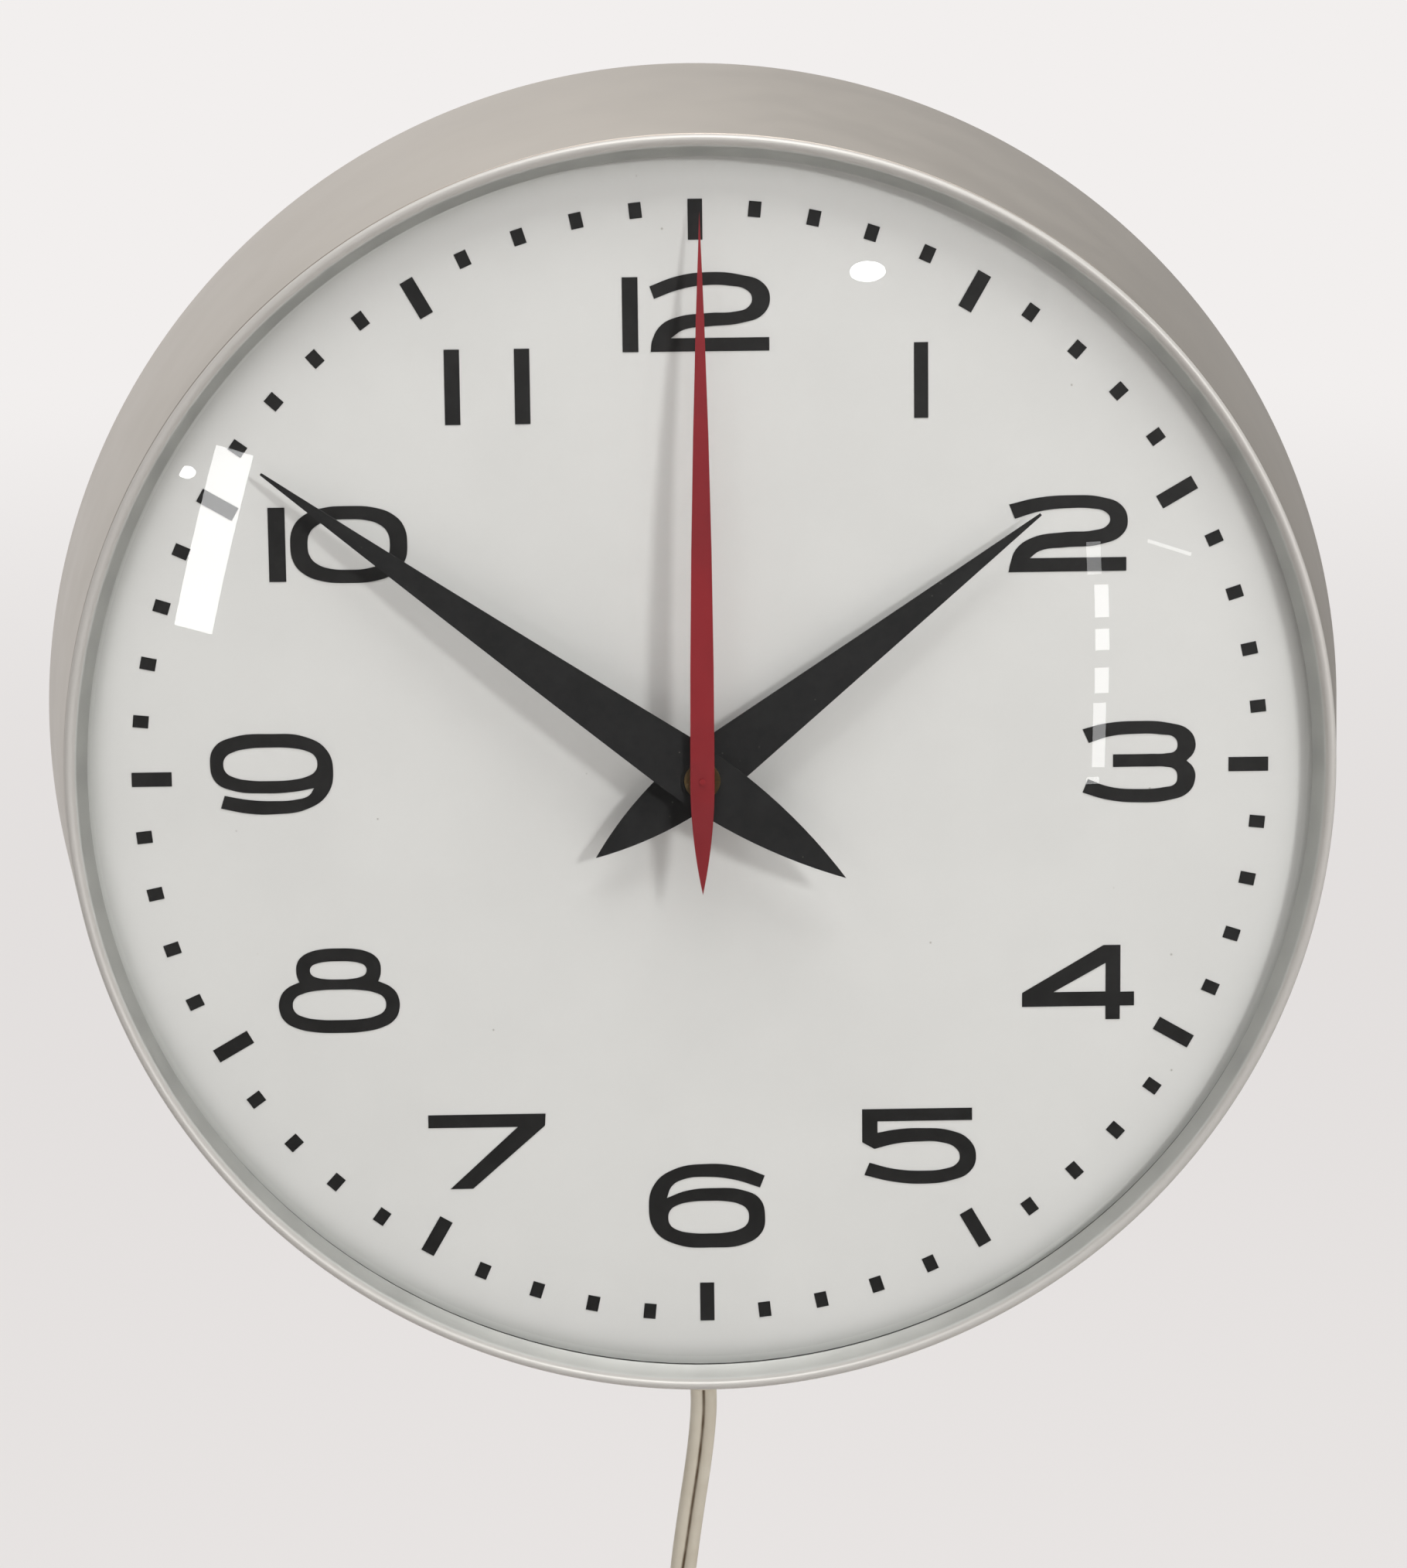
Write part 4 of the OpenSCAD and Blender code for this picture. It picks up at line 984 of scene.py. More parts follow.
SECONDS_STEEL = TippedSteel(
    # The same steel, with red enamel over the end that shows
    "tipped_silver_steel", "#B9BABC", "#A2A3A6", 0.3, metallic=1.0, mottle=4, grain=0.3,
    relief=0.004)
KNOB_PHENOLIC = Finish(
    # Moulded phenolic: deep black with a low shine
    "moulded_phenolic", "#161514", "#201E1C", 0.38, ior=1.6, mottle=5, grain=0.4, relief=0.01)
CAN_LACQUER = SpunLacquer(
    # Drawn brass can under clear lacquer
    "lacquered_drawn_brass", "#B58F55", "#9C7843", 0.33, metallic=0.9, mottle=9, pitch=1.2)
LAMINATIONS = StackedSheet(
    # Punched silicon steel sheets: bluish grey edges with oil-dark seams
    "silicon_steel_stack", "#6E7075", "#5C5D61", 0.45, metallic=0.9, mottle=6, relief=0.06)
BOBBIN_CARD = Finish(
    # Pressed board: tan fibres, quite matt
    "pressed_board", "#D2C59B", "#BFAF82", 0.85, mottle=2.5, grain=0.25, relief=0.03)
MAGNET_WIRE = StackedSheet(
    # Enamelled copper wire, drawn coarser than it is so that the turns show
    "enamelled_copper_wire", "#8E4A26", "#7A3C1E", 0.3, metallic=0.85, mottle=3, pitch=0.5,
    run=Run.ACROSS, seam="#2A120A", relief=0.12)
COVER_PAINT = Finish(
    # Grey stoving paint over pressed sheet: orange peel, satin
    "grey_stoving_paint", "#9B9A94", "#969590", 0.48, mottle=40, grain=1.1, relief=0.03)
LEAD_VINYL = CordVinyl(
    # Extruded vinyl, yellowed: soft satin
    "ivory_vinyl", "#DAD4C4", "#CDC5B3", 0.48, mottle=16, grain=0.5, relief=0.008)
TIE_TAPE = HookTape(
    # Nylon hook and loop tape
    "nylon_hook_tape", "#151515", "#222222", 0.9, mottle=3, grain=0.3, relief=0.12, sheen=0.4)
BLADE_BRASS = TurnedMetal(
    # Stamped brass blade, rubbed along its length
    "stamped_blade_brass", "#CDB67C", "#B89C62", 0.28, metallic=1.0, mottle=4, grain=0.3,
    relief=0.005, run=Run.ACROSS)

FINISH_OF: dict[str, Finish] = {
    "case_metal": CASE_LACQUER, "clear_glass": BENT_GLASS, "black_rubber": GASKET_RUBBER,
    "plated_steel": ZINC_PLATE, "dial_enamel": DIAL_WHITE, "dial_print": PRINT_INK,
    "hand_black": HAND_BLACK, "hand_red": HAND_RED, "brass": CLOCK_BRASS,
    "arbor_steel": ARBOR_STEEL, "knob_plastic": KNOB_PHENOLIC, "can_metal": CAN_LACQUER,
    "lamination_steel": LAMINATIONS, "bobbin_card": BOBBIN_CARD, "copper_wire": MAGNET_WIRE,
    "cover_paint": COVER_PAINT, "cord_vinyl": LEAD_VINYL, "tie_fabric": TIE_TAPE,
    "blade_brass": BLADE_BRASS}

FINISH_OF_NODE: dict[str, Finish] = {"second_arbor": SECONDS_STEEL}


def hand_over(piece: Piece, slot: str, *nodes: str, body: str = CLOCK) -> Piece:
    """Gives a finished piece its finish and its body, and hides the CAD nodes that it replaces.

    Args:
        piece: The finished piece.
        slot: The record's material slot.
        nodes: CAD nodes that it replaces.
        body: The CAD body it rides on.

    Returns:
        The same piece.
    """
    piece.data.materials.clear()
    piece.data.materials.append(FINISH_OF[slot].material())
    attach(piece, body)
    if nodes:
        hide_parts(*nodes)
    LOG.info("%s: %d faces, rides on %s", piece.name, len(piece.data.polygons), body)
    return piece


# The camera and the lead come first

@dataclass
class Viewpoint:
    """Camera at the place the photograph was taken from."""

    place: tuple[float, ...] = (-0.0190, -1.1731, 0.1820)
    right: tuple[float, ...] = (0.99974, -0.01999, -0.01121)
    above: tuple[float, ...] = (0.01442, 0.16863, 0.98557)
    back: tuple[float, ...] = (-0.01781, -0.98548, 0.16887)
    lens: float = 100.26
    clip: Pair = (0.05, 60.0)

    def build(self) -> None:
        """Makes the camera and sets it as the scene's own."""
        data = bpy.data.cameras.new("photo_camera")
        data.lens = self.lens
        data.clip_start, data.clip_end = self.clip
        camera = bpy.data.objects.new("photo_camera", data)
        bpy.context.scene.collection.objects.link(camera)
        camera.matrix_world = Matrix.Translation(self.place) @ Matrix(
            (self.right, self.above, self.back)).transposed().to_4x4()
        bpy.context.scene.camera = camera


@dataclass
class MainsLead:
    """Flat twin lead from the strain relief to the plug, with its spare length coiled."""

    exit: Vector = field(default_factory=lambda: Vector((0, -16, -184.38)))
    drops: tuple[Triple, ...] = (
        (0, 0, 0), (0, 0, -5.6), (-0.4, 0, -11.6), (-1.2, 0, -18.6), (-2.2, 0.1, -25.6),
        (-3.3, 0.3, -32.6), (-4.5, 0.7, -40.6), (-5.6, 1.3, -48.6), (-6.6, 2, -56.6),
        (-7.5, 2.7, -64.6), (-8.2, 3.3, -72.6), (-8.7, 3.8, -80.6), (-9, 4, -88.6),
        (-9, 4, -96.6))
    twist_from: float = 6 / 13
    coil_radius: float = 46.5
    coil_pitch: float = 4.6
    coil_turns: int = 7
    coil_layer: float = 8.0
    lead_in: float = 10.2
    run_out: float = 21.0
    width: float = 7.2
    core: float = 1.9
    core_apart: float = 1.7
    core_arc: float = 145.0
    core_steps: int = 14
    groove_half: float = 0.95
    look: float = 0.01
    rings_per_drop: int = 5
    rings_per_turn: int = 60
    rings_out: int = 4
    soft_angle: float = 50.0
    length: float = 1.8154

    def section(self) -> list[Triple]:
        """Section of the sheath, two round cores with a groove between them.

        Returns:
            Wide and thin offset of each point, and how deep in the groove it lies.
        """
        points = []
        last = self.core_steps
        for side in (1, -1):
            for k in range(last + 1):
                angle = math.radians(-self.core_arc + 2 * self.core_arc * k / last)
                depth = 1.0 if k in (0, last) else 0.0
                points.append((side * (self.core_apart + self.core * math.cos(angle)),
                               side * self.core * math.sin(angle), depth))
            points.append((0.0, side * self.groove_half, 1.0))
        return points

    def free_point(self, t: float) -> Vector:
        """Point of the hanging stretch, t from 0 at the exit to 1 at the coil.

        Args:
            t: Share of the stretch, from 0 at the exit to 1 at the coil.

        Returns:
            The point, in millimetres of the row frame.
        """
        reach = t * (len(self.drops) - 1)
        i = min(int(reach), len(self.drops) - 2)
        f = reach - i
        last = len(self.drops) - 1
        near = [Vector(self.drops[min(max(i + k, 0), last)]) for k in (-1, 0, 1, 2)]
        if i == 0:
            near[0] = near[1] * 2 - near[2]
        if i == len(self.drops) - 2:
            near[3] = near[2] * 2 - near[1]
        return self.exit + 0.5 * (
            2 * near[1] + (near[2] - near[0]) * f
            + (2 * near[0] - 5 * near[1] + 4 * near[2] - near[3]) * f ** 2
            + (3 * near[1] - near[0] - 3 * near[2] + near[3]) * f ** 3)

    def coil_point(self, t: float) -> tuple[Vector, Vector]:
        """Point of the coil, which winds inward and then out again in a second layer.

        Args:
            t: How many turns lie before it.

        Returns:
            The point, in millimetres of the row frame, and the direction outward there.
        """
        start = self.exit + Vector(self.drops[-1])
        middle = start + Vector((self.coil_radius, 0, -self.lead_in))
        radius = self.coil_radius - self.coil_pitch * min(t, self.coil_turns - t)
        climb = eased(min(max((t - (self.coil_turns - 0.5) / 2) * 2, 0), 1))
        angle = math.pi + math.tau * t
        outward = Vector((math.cos(angle), 0, math.sin(angle)))
        return middle + outward * radius - Vector((0, self.coil_layer * climb, 0)), outward

    def route(self) -> tuple[list[Vector], list[Vector], list[Vector]]:
        """Way of the whole lead, from the exit through the coil to the plug.

        Returns:
            Its points, and the wide and the thin direction of the sheath at each.
        """
        points, wide, thin = [], [], []
        steps = (len(self.drops) - 1) * self.rings_per_drop
        for k in range(steps):
            t = k / steps
            before = self.free_point(max(t - self.look, 0))
            ahead = (self.free_point(min(t + self.look, 1)) - before).normalized()
            across = Vector((0, 1, 0)).cross(ahead).normalized()
            fore = ahead.cross(across)
            angle = math.pi / 2 * eased(max(t - self.twist_from, 0) / (1 - self.twist_from))
            points.append(self.free_point(t))
            wide.append(math.cos(angle) * across + math.sin(angle) * fore)
            thin.append(math.cos(angle) * fore - math.sin(angle) * across)
        start, end = self.free_point(1), self.coil_point(0)[0]
        left = Vector((-1, 0, 0))
        coil = [self.coil_point(k / self.rings_per_turn)
                for k in range(self.coil_turns * self.rings_per_turn + 1)]
        tail = [(coil[-1][0] - Vector((0, 0, self.run_out * k / self.rings_out)), left)
                for k in range(1, self.rings_out + 1)]
        for point, outward in [(start, left), (start.lerp(end, 0.5), left), *coil, *tail]:
            points.append(point)
            wide.append(Vector((0, 1, 0)))
            thin.append(-outward)
        return points, wide, thin

    def build(self) -> tuple[Piece, list[Vector]]:
        """Sweeps the sheath along its route.

        Returns:
            The lead, and the centre line that it follows, in metres.
        """
        points, wide, thin = self.route()
        ring = self.section()
        verts = [(p + w * a + n * b) * MM
                 for p, w, n in zip(points, wide, thin) for a, b, _ in ring]
        m = len(ring)
        faces = [(i * m + j, i * m + (j + 1) % m, (i + 1) * m + (j + 1) % m, (i + 1) * m + j)
                 for i in range(len(points) - 1) for j in range(m)]
        faces += [tuple(range(m)), tuple(range(len(verts) - m, len(verts)))]
        mesh = bpy.data.meshes.new("mains_lead")
        mesh.from_pydata(verts, [], faces)
        groove = mesh.attributes.new("groove", "FLOAT", "POINT")
        groove.data.foreach_set("value", [depth for _ in points for _, _, depth in ring])
        piece = bpy.data.objects.new("mains_lead", mesh)
        bpy.context.scene.collection.objects.link(piece)
        focus(piece)
        bpy.ops.object.mode_set(mode="EDIT")
        bpy.ops.mesh.select_all(action="SELECT")
        bpy.ops.mesh.normals_make_consistent(inside=False)
        bpy.ops.object.mode_set(mode="OBJECT")
        smooth(piece, self.soft_angle)
        hand_over(piece, "cord_vinyl", "power_cord", "cord_coil")
        return piece, [p * MM for p in points]


@dataclass
class LeadFittings:
    """Strain relief at the case, tie round the coil, and the moulded plug."""

    relief_at: Vector = field(default_factory=lambda: Vector((0, -0.016, 0)))
    relief_end: float = 184.38
    flange_radius: float = 6.95
    neck_radius: float = 5.4
    tip_radius: float = 4.4
    flange_lengths: tuple[float, ...] = (20.8, 14.6, 13.1, 10.0)
    relief_grooves: int = 4
    relief_groove_from: float = 9.0
    relief_groove_run: float = 8.4
    relief_groove_depth: float = 0.75
    tie_middle: Vector = field(default_factory=lambda: Vector((37.5, -16, -252.615)) * MM)
    tie_size: Triple = (8, 18.8, 21.4)
    tie_bend: float = 2.2
    tape: float = 0.6
    flap_tape: float = 0.5
    flap_inset: float = 0.6
    flap_short: float = 6.5
    flap_drop: float = 1.2
    flap_bend: float = 2.4
    plug_top: Vector = field(default_factory=lambda: Vector((-9, -20, -312.18)))
    plug_size: Triple = (13, 23, 21)
    plug_bend: float = 2.3
    plug_shoulder: float = 9.0
    plug_throat: float = 7.6
    plug_neck: float = 10.0
    plug_neck_radius: float = 3.85
    plug_grooves: int = 3
    plug_groove_radius: float = 3.15
    plug_groove_pitch: float = 2.6
    recess_margin: float = 4.2
    recess_slope: float = 0.8
    recess_depth: float = 0.7
    rib_size: Triple = (1.0, 11.5, 1.1)
    rib_pitch: float = 2.5
    rib_count: int = 5
    rib_sunk: float = 0.55

    def relief(self) -> Piece:
        """Moulded relief with flanges on both sides of the sheet and a grooved, tapered neck.

        Returns:
            The relief.
        """
        tip, wide, neck = self.relief_end, self.flange_radius, self.neck_radius
        back, slot_back, slot_front, front = (tip - length for length in self.flange_lengths)
        outline: list[tuple[float, ...]] = [
            (0, back), (wide, back, 0.8), (wide, slot_back, 0.4), (neck, slot_back),
            (neck, slot_front), (wide, slot_front, 0.2), (wide, front, 0.9),
            (neck + 0.1, front, 0.4)]
        pitch = self.relief_groove_run / self.relief_grooves
        for k in range(self.relief_grooves):
            level = tip - self.relief_groove_from + k * pitch
            out = neck + (self.tip_radius - neck) * (k + 0.5) / self.relief_grooves
            inside = out - self.relief_groove_depth
            outline += [(out, level, 0.2), (inside, level + 0.1, 0.15),
                        (inside, level + 0.8, 0.15), (out - 0.1, level + 0.9, 0.2)]
        outline += [(self.tip_radius, tip, 0.5), (0, tip)]
        piece = turn("lead_relief", rounded(outline, closed=False), Axis.PLUMB, self.relief_at,
                     64, closed=False)
        smooth(piece)
        return hand_over(piece, "cord_vinyl", "cord_bushing")

    def tie(self) -> Piece:
        """Tape wrapped once round the coil, its end pressed down over its start.

        Returns:
            The tie.
        """
        across, deep, tall = self.tie_size
        band = block("coil_tie", self.tie_middle, (across, deep - self.tape, tall - self.tape))
        focus(band)
        bpy.ops.object.mode_set(mode="EDIT")
        pick(band, Part.FACES, lambda f: abs(f.normal.x) > ALONG)
        bpy.ops.mesh.delete(type="FACE")
        pick(band, Part.EDGES, lambda e: abs((e.verts[0].co - e.verts[1].co).x) > MM)
        bpy.ops.mesh.bevel(offset=self.tie_bend * MM, segments=6, affect="EDGES")
        bpy.ops.object.mode_set(mode="OBJECT")
        modify(band, "SOLIDIFY", thickness=self.tape * MM, offset=-1)
        place = Vector((0, -deep / 2 + self.flap_tape / 2, -self.flap_drop))
        flap = block("flap", self.tie_middle + place * MM,
                     (across - self.flap_inset, self.flap_tape, tall - self.flap_short))
        focus(flap)
        bpy.ops.object.mode_set(mode="EDIT")
        pick(flap, Part.EDGES, lambda e: all(v.co.z < self.tie_middle.z for v in e.verts)
             and abs((e.verts[0].co - e.verts[1].co).y) > 0.1 * MM)
        bpy.ops.mesh.bevel(offset=self.flap_bend * MM, segments=6, affect="EDGES")
        bpy.ops.object.mode_set(mode="OBJECT")
        piece = joined([band, flap], "coil_tie")
        ease_edges(piece, 0.12)
        smooth(piece)
        return hand_over(piece, "tie_fabric", "cord_tie")

    def plug(self) -> Piece:
        """Flat moulded plug: ribbed neck, sloping shoulders and a finger recess on each side.

        Returns:
            The plug without its blades.
        """
        wide_x, wide_y, tall = self.plug_size
        low = self.plug_neck + self.plug_shoulder
        middle = (self.plug_top - Vector((0, 0, low + tall / 2))) * MM
        body = block("plug_shell", middle, self.plug_size)
        focus(body)
        bpy.ops.object.mode_set(mode="EDIT")
        pick(body, Part.FACES, lambda f: f.normal.z > ALONG)
        bpy.ops.mesh.extrude_region_move(
            TRANSFORM_OT_translate={"value": (0, 0, self.plug_shoulder * MM)})
        top = middle + Vector((0, 0, tall / 2 + self.plug_shoulder)) * MM
        bpy.ops.transform.resize(value=(self.plug_throat / wide_x, self.plug_throat / wide_y, 1),
                                 center_override=top)
        pick(body, Part.FACES, lambda f: abs(f.normal.x) > 0.98)
        bpy.ops.mesh.inset(thickness=self.recess_margin * MM, depth=0)
        bpy.ops.mesh.inset(thickness=self.recess_slope * MM, depth=-self.recess_depth * MM)
        pick(body, Part.EDGES, lambda e: self.is_outer(e, middle))
        bpy.ops.mesh.bevel(offset=self.plug_bend * MM, segments=5, affect="EDGES")
        bpy.ops.object.mode_set(mode="OBJECT")
        ease_edges(body, 0.3, 2, 30)
        ribs = []
        for side in (-1, 1):
            for k in range(self.rib_count):
                place = Vector((side * (wide_x / 2 - self.rib_sunk), 0,
                                self.rib_pitch * ((self.rib_count - 1) / 2 - k)))
                ribs.append(block("rib", middle + place * MM, self.rib_size))
                ease_edges(ribs[-1], 0.35, 2)
        neck = turn("neck", rounded(self.neck_outline(), closed=False), Axis.PLUMB,
                    Vector((self.plug_top.x, self.plug_top.y, 0)) * MM, 48, closed=False)
        piece = joined([body, neck, *ribs], "plug_shell")
        smooth(piece)
        return hand_over(piece, "cord_vinyl", "plug_body")

    def is_outer(self, edge: Any, middle: Vector) -> bool:
        """Whether an edge lies on the outside corners of the plug's body.

        Args:
            edge: The edge, in edit mode.
            middle: Middle of the body, in metres.

        Returns:
            Whether the edge is rounded.
        """
        near = 0.05 * MM
        half = [s * MM / 2 for s in self.plug_size]
        on_side = [abs(abs(v.co.x - middle.x) - half[0]) < near
                   and abs(abs(v.co.y - middle.y) - half[1]) < near for v in edge.verts]
        way = (edge.verts[0].co - edge.verts[1].co).normalized()
        upright = all(on_side) and abs(way.z) > ALONG
        below = all(v.co.z < middle.z - half[2] + near for v in edge.verts)
        sloping = any(on_side) and 0.3 < abs(way.z) < 0.99
        return upright or below or sloping

    def neck_outline(self) -> list[tuple[float, ...]]:
        """Neck of the plug with its grooves.

        Returns:
            Radius, level and bend of each corner.
        """
        top = -self.plug_top.z
        out, inside = self.plug_neck_radius, self.plug_groove_radius
        outline: list[tuple[float, ...]] = [(0, top + 0.02), (out, top + 0.02, 0.5)]
        for k in range(self.plug_grooves):
            level = top + 2 + k * self.plug_groove_pitch
            outline += [(out, level, 0.2), (inside, level + 0.15, 0.15),
                        (inside, level + 1.0, 0.15), (out, level + 1.15, 0.2)]
        return outline + [(out, top + self.plug_neck + 1), (0, top + self.plug_neck + 1)]

    def build(self) -> list[Piece]:
        """Makes the three fittings."""
        return [self.relief(), self.tie(), self.plug()]


# Case and front

@dataclass
class Case:
    """Spun sheet case with a rolled bead, a sloping lip and a flange for the back cover."""

    depth: float = 102.0
    back_radius: float = 175.0
    front_radius: float = 158.5
    opening: float = 152.9
    wall: float = 1.0
    bead: float = 1.2
    lip: float = 5.6
    flange_level: float = 4.0
    flange_inner: float = 161.35
    screw_circle: float = SCREW_CIRCLE
    screw_hole: float = 1.95
    exit_level: float = 16.0
    exit_hole: float = 5.45
    steps: int = 288

    def radius_at(self, level: float) -> float:
        """Outer radius of the sloping side at a level."""
        share = level / (self.depth - self.bead)
        return self.back_radius + (self.front_radius - self.back_radius) * share

    def outline(self) -> list[Pair]:
        """Section of the sheet, from the wall over the bead and back inside.

        Returns:
            Radius and level of each point.
        """
        top = self.depth - self.bead
        seat = self.depth - self.lip
        bead_mid = self.front_radius - self.bead
        side = rounded([
            (self.back_radius - self.wall, 0, 0.4), (self.back_radius, 0, 0.4),
            (self.radius_at(top - 1.5), top - 1.5, 0.3),
            (self.front_radius - 0.62, top - 1.1)], closed=False)
        roll = arc((bead_mid, top), self.bead, -50, 176, 18)
        lip = rounded([
            (bead_mid - self.bead, top), (self.opening, seat, 0.3),
            (self.opening + 0.95, seat, 0.3), (bead_mid - 0.1, top - 0.9, 0.3),
            (self.radius_at(top - 2.6) - self.wall, top - 2.6, 0.5),
            (self.radius_at(self.flange_level + self.wall) - self.wall,
             self.flange_level + self.wall, 0.6),
            (self.flange_inner, self.flange_level + self.wall, 0.4),
            (self.flange_inner, self.flange_level, 0.4),
            (self.radius_at(self.flange_level) - self.wall, self.flange_level, 0.3),
            (self.back_radius - self.wall, 0.3)], closed=False)
        return side + roll + lip[1:]

    def build(self) -> Piece:
        """Spins the case and drills it for the cover's screws and the lead.

        Returns:
            The case.
        """
        piece = turn("case_body", self.outline(), steps=self.steps)
        for x, y in screw_places(self.screw_circle):
            cut(piece, rod("drill", self.screw_hole, spot(x, y, 2), spot(x, y, 8), 36))
        cut(piece, rod("drill", self.exit_hole, spot(0, -self.back_radius + 12, self.exit_level),
                       spot(0, -self.back_radius - 5, self.exit_level), 48))
        smooth(piece)
        return hand_over(piece, "case_metal", "case_shell")


@dataclass
class DomeGlass:
    """Slumped glass, a slice of a sphere with a seamed edge."""

    sphere: float = 583.262
    middle: float = -466.52
    thickness: float = 2.0
    edge: float = 155.08
    rings: int = 26
    steps: int = 240

    def build(self) -> Piece:
        """Spins the two faces of the glass and its edge.

        Returns:
            The glass.
        """
        front, back = self.sphere, self.sphere - self.thickness
        outside = [self.face_point(front, self.edge * k / self.rings) for k in range(self.rings)]
        inside = [self.face_point(back, self.edge * k / self.rings) for k in range(self.rings)]
        rim = rounded([outside[-1], (*self.face_point(front, self.edge), 0.5),
                       (*self.face_point(back, self.edge), 0.5), inside[-1]], closed=False)
        outline = outside + rim[1:-1] + inside[::-1]
        piece = turn("bent_glass", outline, steps=self.steps, closed=False)
        smooth(piece, 40)
        return hand_over(piece, "clear_glass", "dome_glass")

    def face_point(self, sphere: float, radius: float) -> Pair:
        """Radius and level of a point on one of the glass's faces."""
        return radius, self.middle + math.sqrt(sphere ** 2 - radius ** 2)


@dataclass(frozen=True)
class Bowl:
    """Squared round form of a numeral, between its left, right, low and high sides."""

    left: float
    right: float
    low: float
    high: float
    power: float = 2.6

    def sweep(self, start: float = 0, end: float = 337.5, count: int = 15) -> str:
        """Points along the form between two angles in degrees, as text that loop() reads.

        Args:
            start: First angle in degrees.
            end: Last angle in degrees.
            count: How many steps lie between them.

        Returns:
            The points.
        """
        middle = (self.left + self.right) / 2, (self.low + self.high) / 2
        half = (self.right - self.left) / 2, (self.high - self.low) / 2
        words = []
        for k in range(count + 1):
            angle = math.radians(start + (end - start) * k / count)
            c, s = math.cos(angle), math.sin(angle)
            x = middle[0] + half[0] * math.copysign(abs(c) ** (2 / self.power), c)
            y = middle[1] + half[1] * math.copysign(abs(s) ** (2 / self.power), s)
            words.append(f"{x:.3f},{y:.3f}")
        return " ".join(words)


def bar(left: float, right: float, low: float, high: float) -> str:
    """Upright stroke of a numeral, as text that loop() reads."""
    return f"{left},{low}! {right},{low}! {right},{high}! {left},{high}!"


